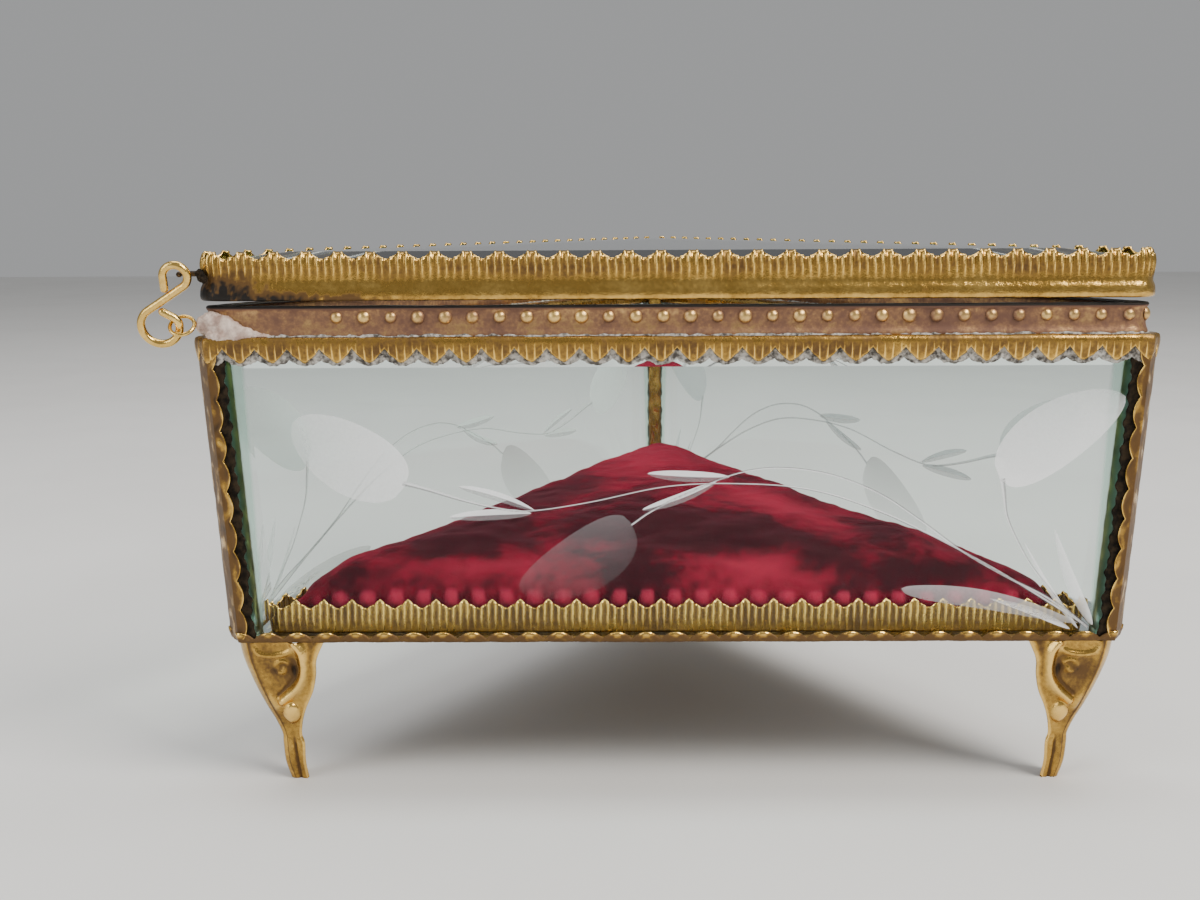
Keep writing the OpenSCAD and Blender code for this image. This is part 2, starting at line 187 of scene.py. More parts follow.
# %% A net of nodes
class Net:
    """A node tree whose nodes are added by formulas."""

    def __init__(self, tree):
        self.tree = tree
        self.shader = tree.nodes.get("Principled BSDF")

    def put(self, socket, value):
        if isinstance(value, Term):
            self.tree.links.new(value.socket, socket)
        else:
            socket.default_value = value

    def node(self, kind, props=(), **inputs):
        made = self.tree.nodes.new(kind)
        for key, value in dict(props).items():
            setattr(made, key, value)
        for key, value in inputs.items():
            self.put(made.inputs[key.replace("_", " ")], value)
        return made

    def term(self, kind, output=0, props=(), **inputs):
        return Term(self, self.node(kind, props, **inputs).outputs[output])

    def math(self, operation, *values):
        made = self.node("ShaderNodeMath", {"operation": operation})
        for socket, value in zip(made.inputs, values):
            self.put(socket, value)
        return Term(self, made.outputs[0])

    def vector(self, operation, *values, output=0):
        made = self.node("ShaderNodeVectorMath", {"operation": operation})
        for socket, value in zip(made.inputs, values):
            self.put(socket, value)
        return Term(self, made.outputs[output])

    def ramp(self, value, low, high, start=0.0, end=1.0):
        """Goes smoothly from start to end as value goes from low to high."""
        return self.term("ShaderNodeMapRange", props={"interpolation_type": "SMOOTHSTEP"}, Value=value,
                         From_Min=low, From_Max=high, To_Min=start, To_Max=end)

    def xyz(self, x, y, z):
        return self.term("ShaderNodeCombineXYZ", X=x, Y=y, Z=z)

    def parts(self, vector):
        made = self.node("ShaderNodeSeparateXYZ", Vector=vector)
        return [Term(self, socket) for socket in made.outputs]

    def mix(self, share, first, second):
        made = self.node("ShaderNodeMix", {"data_type": "RGBA"})
        self.put(made.inputs[0], share)
        for socket, colour in ((made.inputs[6], first), (made.inputs[7], second)):
            self.put(socket, colour if isinstance(colour, Term) else (*colour, 1))
        return Term(self, made.outputs[2])

    def noise(self, scale, detail, rough, at):
        return self.term("ShaderNodeTexNoise", Scale=scale, Detail=detail, Roughness=rough, Vector=at)

    def place(self):
        return self.term("ShaderNodeTexCoord", output=3)

    def attribute(self, name):
        return self.term("ShaderNodeAttribute", output=2, props={"attribute_name": name})

    def bump(self, height, strength, distance):
        return self.term("ShaderNodeBump", Strength=strength, Distance=distance, Height=height)

    def dress(self, **values):
        """Sets sockets of the material's shader, or links them."""
        for key, value in values.items():
            self.put(self.shader.inputs[key.replace("_", " ")], value)

    def store(self, geometry, name, value):
        """Keeps a value on each point under that name."""
        return self.term("GeometryNodeStoreNamedAttribute", props={"data_type": "FLOAT", "domain": "POINT"},
                         Geometry=geometry, Name=name, Value=value)

    def scaled(self, vector, by):
        made = self.node("ShaderNodeVectorMath", {"operation": "SCALE"}, Scale=by)
        self.put(made.inputs[0], vector)
        return Term(self, made.outputs[0])

    def on_curve(self, curve, share):
        """Place and direction at that share of a curve's length."""
        made = self.node("GeometryNodeSampleCurve", {"mode": "FACTOR"}, Curves=curve, Factor=share)
        return Term(self, made.outputs["Position"]), Term(self, made.outputs["Tangent"])

    def beside(self, curve, share, out, up):
        """A point that far outwards and upwards from a place on a curve."""
        at, way = self.on_curve(curve, share)
        outwards = self.vector("NORMALIZE", self.vector("CROSS_PRODUCT", way, (0, 0, 1)))
        return self.vector("ADD", self.vector("ADD", at, self.scaled(outwards, out)), self.xyz(0.0, 0.0, up))


def material(name):
    """A new material and its net."""
    made = bpy.data.materials.new(name)
    made.use_nodes = True
    return made, Net(made.node_tree)


print("words of a net:", ", ".join(word for word in vars(Net) if not word.startswith("_")))

# %% [markdown]
# Old gilt brass is never one colour. Bright metal shows where hands have rubbed it, brown
# tarnish sits in the hollows, and a pale crust of polish dries in the corners. The strips carry
# a `crest` attribute, 1 on a ridge and 0 in a hollow, which drives that difference. Plain pieces
# have none, so their tarnish comes from noise alone.
# Below zero the crest turns the brass near-black: soot in deep hollows, and painted shade where a strip lies
# in a gap.

# %% Brass
def brass(name, bright, mid, tarnish, rough=(0.2, 0.5), crest=False, amount=0.5):
    made, net = material(name)
    place = net.place()
    clouds = net.noise(160, 5, 0.6, place)
    specks = net.noise(1500, 3, 0.6, place)
    fine = net.noise(5200, 2, 0.5, place)
    stain = clouds * 0.65 + specks * 0.35
    if crest:
        stain = stain * 0.55 + (1 - net.attribute("crest")) * 0.42
    dull = net.ramp(stain, 0.62 - 0.25 * amount, 0.78 - 0.2 * amount)
    worn = net.ramp(stain, 0.3, 0.56)
    colour = net.mix(dull, net.mix(worn, bright, mid), tarnish)
    if crest:
        # Near-black where the crest is below zero: soot, and painted shade in gaps
        soot = net.ramp(0 - net.attribute("crest"), 0.05, 0.7)
        colour = net.mix(soot, colour, (0.012, 0.009, 0.007))
        dull = net.math("MAXIMUM", dull, soot)
    net.dress(Base_Color=colour, Roughness=net.ramp(dull * 0.8 + fine * 0.3, 0.1, 0.9, *rough),
              Metallic=1 - dull * 0.45, Normal=net.bump(specks + fine * 0.4, 0.25, 0.2 * MM))
    return made


gilt = brass("gilt_brass", (0.92, 0.6, 0.17), (0.44, 0.255, 0.055), (0.12, 0.06, 0.016), crest=True)
plain_gilt = brass("plain_gilt", (0.8, 0.52, 0.15), (0.42, 0.245, 0.055), (0.12, 0.06, 0.018))
pink = brass("pink_brass", (0.85, 0.58, 0.2), (0.4, 0.215, 0.105), (0.15, 0.075, 0.05), (0.34, 0.62),
             crest=True, amount=0.85)
dark = brass("dark_brass", (0.3, 0.19, 0.065), (0.14, 0.085, 0.03), (0.03, 0.02, 0.012), amount=0.8)
hook_gilt = brass("hook_brass", (1.0, 0.7, 0.22), (0.72, 0.46, 0.12), (0.26, 0.14, 0.04), (0.16, 0.4),
                  amount=0.1)
print("brass finishes:", [m.name for m in (gilt, plain_gilt, pink, dark, hook_gilt)])

# %% [markdown]
# Glass bends what is behind it, and its bevels show as bright and dark lines, so the panels are
# true transmission glass. Lamps reach the pad through a clear stand-in, because a path tracer
# finds a lamp through bent glass only by luck.

# %% Glass
def panel_edge(net, place):
    """One in a band along the upright edges of the three panels, where the glass is ground."""
    x, y, z = net.parts(place)
    out = (x * x + y * y) ** 0.5
    half = glass_hi.x - (glass_hi.z - z) * math.tan(panel_lean) * math.sqrt(3)
    limit = (half * half + (body_r0 + 0.5 * MM) ** 2) ** 0.5
    return net.ramp(out - limit, -3.0 * MM, -2.4 * MM)


def lid_edge(net, place):
    """One in a thin band round the lid's glass."""
    x, y, _ = net.parts(place)
    out = 0 - y
    for turn in (-1, 1):
        out = net.math("MAXIMUM", out, x * (turn * COS30) + y * 0.5)
    return net.ramp(out, lid_r - 3.2 * MM, lid_r - 2.2 * MM)


GLASS_IOR = 1.5
GLASS_ROUGH = 0.015


def glass(name, tint, rim_tint, rim_mask):
    made, net = material(name)
    rim = rim_mask(net, net.place())
    net.dress(Base_Color=net.mix(rim, tint, rim_tint), Roughness=rim * 0.3 + GLASS_ROUGH,
              Transmission_Weight=1, IOR=GLASS_IOR, Specular_Tint=(0.12, 0.14, 0.14, 1))
    path = net.node("ShaderNodeLightPath")
    lamp_ray = net.math("MAXIMUM", Term(net, path.outputs["Is Shadow Ray"]),
                        Term(net, path.outputs["Is Diffuse Ray"]))
    clear = net.term("ShaderNodeBsdfTransparent", Color=(*[0.5 + 0.5 * c for c in tint], 1))
    both = net.node("ShaderNodeMixShader")
    net.put(both.inputs[0], lamp_ray)
    net.put(both.inputs[1], Term(net, net.shader.outputs[0]))
    net.put(both.inputs[2], clear)
    net.put(made.node_tree.nodes["Material Output"].inputs["Surface"], Term(net, both.outputs[0]))
    return made


clear_glass = glass("clear_glass", (0.93, 0.98, 0.965), (0.5, 0.8, 0.66), panel_edge)
lid_clear = glass("lid_glass", (0.9, 0.975, 0.945), (0.2, 0.55, 0.47), lid_edge)
print("glass:", clear_glass.name, "and", lid_clear.name)

# %% [markdown]
# Card, floor, solder and soot are all dull: two colours in slow clouds and a fine grain that
# roughens them. Then every CAD node gets a finish, also those that a dressed piece replaces.

# %% Matt finishes, and a finish for every node
def matt(name, first, second, scale, rough, depth=0.1 * MM, shine=0.5):
    made, net = material(name)
    place = net.place()
    clouds = net.noise(scale, 6, 0.6, place)
    fine = net.noise(scale * 9, 3, 0.6, place)
    net.dress(Base_Color=net.mix(net.ramp(clouds, 0.35, 0.65), first, second),
              Roughness=net.ramp(fine, 0.2, 0.8, rough - 0.1, rough + 0.1),
              Normal=net.bump(clouds + fine * 0.5, 0.4, depth), Specular_IOR_Level=shine)
    return made


board = matt("cardboard", (0.32, 0.2, 0.1), (0.2, 0.12, 0.06), 300, 0.85)
floor.data.materials.append(matt("floor", (0.72, 0.71, 0.69), (0.76, 0.75, 0.73), 3, 0.6, 0.0, 0.2))
solder = matt("solder", (0.7, 0.56, 0.47), (0.36, 0.24, 0.19), 500, 0.5, 0.0005)
residue = matt("residue", (0.55, 0.52, 0.47), (0.07, 0.062, 0.055), 1300, 0.75, 0.0005, 0.2)
# Near-black: painted shade with dirt behind the post laps, and the crust under the catch
soot = matt("soot", (0.035, 0.024, 0.014), (0.006, 0.005, 0.004), 900, 0.85, 0.0003, 0.1)


def paint(obj, finish):
    obj.data.materials.clear()
    obj.data.materials.append(finish)


# The lid ledge is dark as painted shade in the gap under the lid.
DARK_NODES = ("base_plate", "hinge_body_leaf", "hinge_lid_leaf", "hinge_pin", "lid_ledge", "lid_catch")
for name, obj in frame["nodes"].items():
    kind = plain_gilt
    if name == "lid_glass":
        kind = lid_clear
    elif "glass" in name:
        kind = clear_glass
    elif name in DARK_NODES:
        kind = dark
    elif name == "pad_board":
        kind = board
    paint(obj, kind)
print("matt finishes:", [m.name for m in (board, solder, residue, soot)])

# %% [markdown]
# Each Geometry Nodes tree here starts with its named inputs. Each ends with its copies made real and its
# finish set.

# %% Start and end of a tree
def new_tree(name, inputs):
    """An empty Geometry Nodes tree, its net and its input terms by name.

    An input is given by its starting number, or by the kind of thing that it takes."""
    tree = bpy.data.node_groups.new(name, "GeometryNodeTree")
    tree.interface.new_socket("Geometry", in_out="INPUT", socket_type="NodeSocketGeometry")
    for label, value in inputs.items():
        kind = value if isinstance(value, str) else type(value).__name__.capitalize()
        socket = tree.interface.new_socket(label, in_out="INPUT", socket_type="NodeSocket" + kind)
        if kind != value:
            socket.default_value = value
    tree.interface.new_socket("Geometry", in_out="OUTPUT", socket_type="NodeSocketGeometry")
    net = Net(tree)
    group = net.node("NodeGroupInput")
    return tree, net, {label: Term(net, group.outputs[label]) for label in inputs}


def end_tree(net, geometry, finish):
    real = net.term("GeometryNodeRealizeInstances", Geometry=geometry)
    painted = net.term("GeometryNodeSetMaterial", Geometry=real, Material=finish)
    net.node("NodeGroupOutput", Geometry=painted)

# %% [markdown]
# Every strip on the box is the same idea: a thin sheet with one cross-section, pressed with
# ribs and cut along one edge into scallops or teeth. A path and a cross-section are curves, and
# one tree makes them all. It lays a flat grid along the path, so each point knows how far along
# it is (`u`) and how far across (`v`); the teeth shorten `v`, and the ribs lift the sheet.

# %% The stamped strip tree
def stamped_strip_tree():
    tree, net, given = new_tree("stamped_strip", {
        "Path": "Object", "Section": "Object", "Finish": "Material", "Columns": 900, "Rows": 16,
        "Teeth": 30.0, "Tooth Depth": 0.1, "Tooth Point": 2.0, "Tooth Round": 0.5, "Tooth Dome": 0.0,
        "Dome Start": 0.5, "Ribs": 90.0, "Rib Height": 0.0002, "Rib Start": 0.4, "Rib Full": 0.7,
        "Rib Share": 1.0, "Unevenness": 0.0001, "Ragged": 0.0, "Seed": 0.0, "Plain Wear": 0.5,
        "Edge Start": 0.94, "Edge Wear": 0.4})
    path = net.term("GeometryNodeObjectInfo", output=4, Object=given["Path"])
    section = net.term("GeometryNodeObjectInfo", output=4, Object=given["Section"])
    grid = net.term("GeometryNodeMeshGrid", Size_X=1.0, Size_Y=1.0, Vertices_X=given["Columns"],
                    Vertices_Y=given["Rows"])
    x, y, _ = net.parts(net.term("GeometryNodeInputPosition"))
    u = x + 0.5
    v = y + 0.5

    from_middle = net.math("ABSOLUTE", net.math("FRACT", u * given["Teeth"]) - 0.5) * 2
    tooth = (1 - from_middle ** given["Tooth Point"]) ** given["Tooth Round"]
    jag = net.noise(130.0, 3.0, 0.65, net.xyz(u, given["Seed"], 0.0)) - 0.5
    across = v * (1 - given["Tooth Depth"] * (1 - tooth)) * (1 + jag * given["Ragged"])
    from_rib = net.math("ABSOLUTE", net.math("FRACT", u * given["Ribs"]) - 0.5) * 2
    width = net.ramp(across, given["Rib Start"], given["Rib Full"])
    ridge = net.math("MAXIMUM", 1 - from_rib / (width * given["Rib Share"] + 0.001), 0.0)
    ridge = net.ramp(ridge, 0.0, 1.0) * width
    dome = (1 - from_middle * from_middle) * net.ramp(across, given["Dome Start"], 1.0)
    # Above zero the edge share lightens the top edge as wear; below zero it darkens it, as painted shade on
    # the rim.
    edge = net.ramp(v, given["Edge Start"], given["Edge Start"] + 0.06) * given["Edge Wear"]
    plain = (1 - width * 0.55) * given["Plain Wear"]
    crest = net.math("MINIMUM", net.math("MAXIMUM", ridge, plain) + dome * 0.15 + edge, 1.0)

    out, up, _ = net.parts(net.on_curve(section, across)[0])
    marked = net.store(grid, "crest", crest)
    marked = net.store(marked, "lift", ridge * given["Rib Height"] + dome * given["Tooth Dome"])
    laid = net.term("GeometryNodeSetPosition", Geometry=marked, Position=net.beside(path, u, out, up))
    welded = net.term("GeometryNodeMergeByDistance", Geometry=laid, Distance=0.01 * MM)
    wobble = net.noise(140.0, 3.0, 0.6, net.vector("ADD", net.term("GeometryNodeInputPosition"),
                                                   net.xyz(given["Seed"], 0.0, 0.0)))
    push = net.term("GeometryNodeInputNamedAttribute", Name="lift") + (wobble - 0.5) * given["Unevenness"]
    pressed = net.term("GeometryNodeSetPosition", Geometry=welded,
                       Offset=net.scaled(net.term("GeometryNodeInputNormal"), push))
    end_tree(net, net.term("GeometryNodeSetShadeSmooth", Geometry=pressed), given["Finish"])
    return tree


strip_tree = stamped_strip_tree()
print("stamped strip tree:", len(strip_tree.nodes), "nodes")

# %% [markdown]
# A tree needs an object to live on while it grows. These helpers draw the two guide curves, run
# the tree on an empty mesh, give the sheet its thickness, and keep the plain mesh.

# %% Growing a strip
def guide(name, points, closed=False):
    """A poly curve through those points, used only to guide a tree."""
    data = bpy.data.curves.new(name, "CURVE")
    data.dimensions = "3D"
    spline = data.splines.new("POLY")
    spline.points.add(len(points) - 1)
    for spot, p in zip(spline.points, points):
        spot.co = (*p, 0, 1) if len(p) == 2 else (*p, 1)
    spline.use_cyclic_u = closed
    return add(name, data)


def plain_mesh(obj, modifiers):
    """The mesh that an object has after those modifiers, with its attributes."""
    for kind, settings in modifiers:
        extra = obj.modifiers.new(kind.lower(), kind)
        for key, value in settings.items():
            setattr(extra, key, value)
    view = bpy.context.evaluated_depsgraph_get()
    return bpy.data.meshes.new_from_object(obj.evaluated_get(view), preserve_all_data_layers=True,
                                           depsgraph=view)


def grow(name, tree, finishers=(), **values):
    """Runs a tree with those inputs and returns its result as a plain mesh object."""
    seat = add(name + ".seat", bpy.data.meshes.new(name + ".seat"))
    modifier = seat.modifiers.new("grow", "NODES")
    modifier.node_group = tree
    for item in tree.interface.items_tree:
        label = item.name.replace(" ", "_")
        if item.item_type == "SOCKET" and item.in_out == "INPUT" and label in values:
            modifier[item.identifier] = values[label]
    mesh = plain_mesh(seat, finishers)
    mesh.name = name
    drop(seat)
    return add(name, mesh)


def drop(*objects):
    for obj in objects:
        bpy.data.objects.remove(obj)


NO_RIBS = {"Ribs": 1.0, "Rib_Height": 0.0, "Rib_Start": 2.0, "Rib_Full": 3.0}


def strip(name, path, section, z, finish, thick, closed=False, **shape):
    """A stamped strip along a path. Its section is given in millimetres, out and up from z."""
    along = guide(name + ".path", path, closed)
    across = guide(name + ".section", [(out * MM, z + up * MM, 0.0) for out, up in section])
    solid = ("SOLIDIFY", {"thickness": thick * MM, "offset": -1.0, "use_even_offset": False})
    grown = grow(name, strip_tree, [solid], Path=along, Section=across, Finish=finish, **shape)
    drop(along, across)
    return grown

# %% [markdown]
# Only two kinds of path are needed: right round the box with rounded corners, as the bands run,
# and along one side from corner to corner, as the rails do. The same piece then serves all sides.

# %% Paths round the box
def round_triangle(r, c, steps=10):
    """A triangle with rounded corners, anticlockwise from the middle of the front side."""
    points = [(0.0, -r)]
    for k in range(3):
        middle = math.radians(-30 + 120 * k)
        for i in range(steps + 1):
            a = math.radians(-90 + 120 * k + 120 * i / steps)
            points.append((2 * (r - c) * math.cos(middle) + c * math.cos(a),
                           2 * (r - c) * math.sin(middle) + c * math.sin(a)))
    return points


def cut_side(r, w):
    """One side of a triangle with cut corners, from corner middle to corner middle."""
    far = 2 * r - w * COS30
    mid = (far * COS30, -far / 2)
    end = (mid[0] - w / 4, mid[1] - w / 2 * COS30)
    return [(-mid[0], mid[1]), (-end[0], end[1]), end, mid]


lid_path = round_triangle(lid_r, corner_r)
lid_round = sum(math.dist(a, b) for a, b in zip(lid_path, lid_path[1:] + lid_path[:1]))
print("once round the lid:", round(lid_round / MM), "mm")

# %% [markdown]
# A finished piece rides on its body and stands for CAD nodes. What is the same on all three
# sides is made once, at the front, and copied round by thirds of a turn.

# %% Pieces that ride on a body
def turn_about(mesh, k):
    mesh.transform(Matrix.Rotation(math.radians(120 * k), 4, "Z"))


def adopt(obj, body, slot, *nodes):
    """Lets a finished piece ride on its body in place of the CAD nodes that it stands for."""
    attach(obj, body)
    if nodes:
        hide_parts(*nodes)
    return obj


def on_each_side(first, names, slot, replace=False):
    """Adopts a copy of a front piece on each side, and drops the first."""
    pieces = []
    for side, label in enumerate(SIDES):
        name = names.format(label)
        mesh = first.data.copy()
        mesh.name = name
        turn_about(mesh, side)
        nodes = [name.split(".")[0]] if replace else []
        pieces.append(adopt(add(name, mesh), "casket", slot, *nodes))
    drop(first)
    return pieces

# %% [markdown]
# The lid's band is a smooth half-round below and a row of crimps above, whose scallops fold over
# the glass. Each crimp narrows to a point where it meets the half-round.

# %% Lid band
def smear(obj, at, reach, amount):
    """Lowers the crest of points near a place in millimetres, which darkens the brass there."""
    layer = obj.data.attributes["crest"].data
    spots = np.array([v.co for v in obj.data.vertices]) / MM
    worn = np.empty(len(spots), np.float32)
    layer.foreach_get("value", worn)
    near = np.exp(-(((spots - at) / reach) ** 2).sum(1))
    for i in np.flatnonzero(near > 0.02):
        grain = noise.noise(Vector(spots[i]) * 0.9) + 0.5 * noise.noise(Vector(spots[i]) * 2.7)
        worn[i] -= amount * near[i] * (0.85 + 0.9 * grain)
    layer.foreach_set("value", worn)


LID_SECTION = [
    (-1.25, 0.1), (-0.5, 0.05), (-0.15, 0.12), (0.0, 0.45), (0.0, 1.1), (-0.05, 1.7), (-0.2, 2.2),
    (-0.42, 2.55), (-0.5, 3.0), (-0.5, 4.6), (-0.52, 5.8), (-0.62, 6.5), (-0.85, 7.1), (-1.2, 7.4),
    (-1.6, 7.55)]


def lid_band():
    band = strip("lid_band.crimped", round_triangle(lid_r, corner_r), LID_SECTION, lid_lo.z, gilt, 0.25,
                 closed=True, Columns=2161, Rows=18, Teeth=90.0, Tooth_Depth=0.16, Tooth_Point=1.3,
                 Tooth_Round=2.0, Tooth_Dome=0.15 * MM, Dome_Start=0.6, Ribs=360.0, Rib_Height=0.4 * MM,
                 Rib_Share=0.55, Rib_Start=0.36, Rib_Full=0.72, Unevenness=0.25 * MM, Ragged=0.05)
    smear(band, (-73, -44, 81.5), (7, 6, 2.2), 1.9)
    smear(band, (-60, -45, 80.8), (14, 4, 1.0), 0.9)
    return adopt(band, "lid", "gilt_brass", "lid_band")


lid_strip = lid_band()
print("lid band faces:", len(lid_strip.data.polygons))

# %% [markdown]
# The two rails hold the glass: a channel over its top edge and a shallow angle under its foot.
# Their free edges are cut into teeth and folded on to the glass. The front rail is grown once
# and turned to the other two sides, because all three come from one strip.

# %% Rails
def rail(name, r, section, z, **shape):
    first = strip(name + ".strip", cut_side(r, post_w), section, z, gilt, 0.3, **shape)
    return on_each_side(first, name + "_{}.strip", "gilt_brass", replace=True)


TOP_RAIL = [(-3.9, -2.0), (-3.9, -0.4), (-3.7, -0.12), (-0.5, -0.02), (-0.15, -0.06), (0.0, -0.3),
            (0.0, -1.2), (-0.02, -1.6), (-0.08, -2.4), (-0.16, -3.2), (-0.22, -3.8)]
top_rails = rail("top_rail", body_r1, TOP_RAIL, rail_hi.z, Columns=901, Rows=22, Teeth=30.0,
                 Tooth_Depth=0.25, Tooth_Point=1.3, Tooth_Round=0.95, Tooth_Dome=0.22 * MM,
                 Dome_Start=0.7, Ribs=120.0, Rib_Height=0.08 * MM, Rib_Share=0.42, Rib_Start=0.5,
                 Rib_Full=0.85, Unevenness=0.45 * MM, Ragged=0.08, Plain_Wear=0.34, Seed=2.0)
LOW_RAIL = [(-5.4, 0.05), (-1.5, 0.02), (-0.3, 0.0), (-0.06, 0.08), (0.0, 0.3), (0.0, 0.7), (0.0, 1.1),
            (-0.12, 1.7)]
low_rails = rail("bottom_rail", body_r0, LOW_RAIL, low_lo.z, Columns=621, Rows=14, Teeth=31.0,
                 Tooth_Depth=0.16, Tooth_Point=1.8, Tooth_Round=0.8, Tooth_Dome=0.45 * MM,
                 Dome_Start=0.78, Ribs=31.0, Rib_Height=0.1 * MM, Rib_Start=0.8, Rib_Full=1.0,
                 Unevenness=0.4 * MM, Ragged=0.05, Plain_Wear=0.3, Edge_Start=0.6,
                 Edge_Wear=-0.25, Seed=5.0)
print("rails:", [p.name for p in top_rails + low_rails])

# %% [markdown]
# The rim band is plain rolled strip with a row of pearls pressed out of it. The pearls repeat,
# so a second tree sets low round bosses along a path and leaves the plain stretch free.

# %% The pearl tree
def pearl_tree():
    tree, net, given = new_tree("pearls", {
        "Path": "Object", "Finish": "Material", "Count": 105, "Radius": 0.001, "Out": 0.0, "Up": 0.078,
        "Gap Start": 0.83, "Gap End": 0.9, "Seed": 4})
    path = net.term("GeometryNodeObjectInfo", output=4, Object=given["Path"])
    line = net.term("GeometryNodeMeshLine", props={"mode": "OFFSET"}, Count=given["Count"], Offset=(0, 0, 0))
    u = (net.term("GeometryNodeInputIndex") + 0.5) / given["Count"]
    placed = net.term("GeometryNodeSetPosition", Geometry=line,
                      Position=net.beside(path, u, given["Out"], given["Up"]))
    in_gap = net.math("GREATER_THAN", u, given["Gap Start"]) * net.math("LESS_THAN", u, given["Gap End"])
    kept = net.term("GeometryNodeDeleteGeometry", props={"domain": "POINT"},
                    Geometry=net.store(placed, "along", u), Selection=in_gap)
    ball = net.term("GeometryNodeMeshUVSphere", Segments=14, Rings=9, Radius=given["Radius"])
    x, y, z = net.parts(net.term("GeometryNodeInputPosition"))
    share = net.math("MAXIMUM", z / given["Radius"], 0.0)
    low = net.term("GeometryNodeSetPosition", Geometry=ball,
                   Position=net.xyz(x, y, (share ** 1.5) * given["Radius"] * 0.62))
    pearl = net.store(low, "crest", share * 0.55 + 0.38)
    size = net.node("FunctionNodeRandomValue", {"data_type": "FLOAT"}, Seed=given["Seed"])
    for socket, value in zip([s for s in size.inputs if s.enabled], (0.86, 1.1)):
        socket.default_value = value
    scale = Term(net, [s for s in size.outputs if s.enabled][0])
    way = net.on_curve(path, net.term("GeometryNodeInputNamedAttribute", Name="along"))[1]
    turn = net.term("FunctionNodeAlignEulerToVector", props={"axis": "Z"},
                    Vector=net.vector("CROSS_PRODUCT", way, (0, 0, 1)))
    set_out = net.term("GeometryNodeInstanceOnPoints", Points=kept, Instance=pearl, Scale=scale,
                       Rotation=turn)
    real = net.term("GeometryNodeRealizeInstances", Geometry=set_out)
    end_tree(net, net.term("GeometryNodeSetShadeSmooth", Geometry=real), given["Finish"])
    return tree


pearl_row = pearl_tree()
print("pearl tree:", len(pearl_row.nodes), "nodes")

# %% [markdown]
# The strip under the pearls needs no new tree: it is a stamped strip without ribs or teeth. Both
# follow the same path, so the pearls stay in its hollow.

# %% Rim band
RIM = [(-0.9, 0.05), (-0.15, 0.05), (0.0, 0.25), (-0.02, 0.7), (-0.22, 1.1), (-0.38, 1.7), (-0.4, 2.7),
       (-0.4, 3.7), (-0.3, 4.2), (-0.06, 4.5), (0.0, 4.8), (-0.1, 5.02), (-0.5, 5.08), (-2.6, 5.0)]


def rim_band():
    outline = round_triangle(rim_r, corner_r)
    # The band's top lip and turned-in flange are painted near-black, as shade in the gap under the lid.
    band = strip("rim_band.strip", outline, RIM, rim_lo.z, pink, 0.3, closed=True, Columns=901, Rows=26,
                 Teeth=35.0, Tooth_Depth=0.0, Unevenness=0.35 * MM, Seed=9.0, Plain_Wear=0.4,
                 Edge_Start=0.63, Edge_Wear=-1.6, **NO_RIBS)
    adopt(band, "casket", "pink_brass", "rim_band")
    path = guide("rim.path", outline, closed=True)
    made = grow("rim_band.pearls", pearl_row, Path=path, Finish=pink, Count=105, Radius=1.15 * MM,
                Out=-0.46 * MM, Up=rim_lo.z + 3.25 * MM, Gap_Start=0.835, Gap_End=0.879, Seed=4)
    drop(path)
    return adopt(made, "casket", "pink_brass")


pearls = rim_band()
print("pearls faces:", len(pearls.data.polygons))

# %% [markdown]
# Round the pad stands a crimped strip like the lid's, smaller and on edge, with its scallops up.

# %% Base band
BAND_SECTION = [(-0.3, 0.05), (-0.15, 0.1), (-0.12, 0.6), (-0.12, 3.6), (-0.14, 4.5), (-0.3, 5.3)]


def base_band():
    band = strip("base_band.crimped", round_triangle(band_r, 1.5 * MM), BAND_SECTION, band_lo.z, gilt,
                 0.25, closed=True, Columns=2089, Rows=13, Teeth=87.0, Tooth_Depth=0.28, Tooth_Point=0.9,
                 Tooth_Round=1.2, Tooth_Dome=0.08 * MM, Dome_Start=0.5, Ribs=348.0, Rib_Height=0.3 * MM,
                 Rib_Share=0.7, Rib_Start=-0.3, Rib_Full=0.7, Unevenness=0.25 * MM, Plain_Wear=0.3,
                 Seed=12.0)
    return adopt(band, "casket", "gilt_brass", "base_band")


band_strip = base_band()
print("base band faces:", len(band_strip.data.polygons))

# %% [markdown]
# Some pieces are easier as a grid of points worked out with numpy: a surface with rows and
# columns, whose faces join each point to its neighbours. A small builder does that for all.

# %% Surfaces from rows of points
def surface(name, points, finish, closed=False, attributes=None):
    """A smooth mesh from an array of rows x columns x 3 points."""
    rows, columns = points.shape[:2]
    index = np.arange(rows * columns).reshape(rows, columns)
    right = np.roll(index, -1, axis=1) if closed else index[:, 1:]
    left = index if closed else index[:, :-1]
    quads = np.stack([left[:-1], right[:-1], right[1:], left[1:]], axis=-1).reshape(-1, 4)
    mesh = bpy.data.meshes.new(name)
    mesh.from_pydata(points.reshape(-1, 3).tolist(), [], quads.tolist())
    mesh.polygons.foreach_set("use_smooth", [True] * len(quads))
    for key, values in (attributes or {}).items():
        mesh.attributes.new(key, "FLOAT", "POINT").data.foreach_set(
            "value", np.asarray(values, np.float32).reshape(-1))
    mesh.materials.append(finish)
    return add(name, mesh)


def finish_with(obj, *modifiers):
    """Applies modifiers to an object and keeps the plain mesh."""
    mesh = plain_mesh(obj, modifiers)
    obj.modifiers.clear()
    obj.data = mesh
    return obj


def through(points, count):
    """A smooth curve through given points, as evenly numbered samples."""
    p = np.asarray(points, float)
    p = np.vstack([2 * p[0] - p[1], p, 2 * p[-1] - p[-2]])
    t = np.linspace(0, len(p) - 3 - 1e-9, count)
    i = t.astype(int)
    f = (t - i)[:, None]
    a, b, c, d = (p[i + k] for k in range(4))
    bend, twist = 2 * a - 5 * b + 4 * c - d, 3 * b - a - 3 * c + d
    return 0.5 * (2 * b + (c - a) * f + bend * f ** 2 + twist * f ** 3)


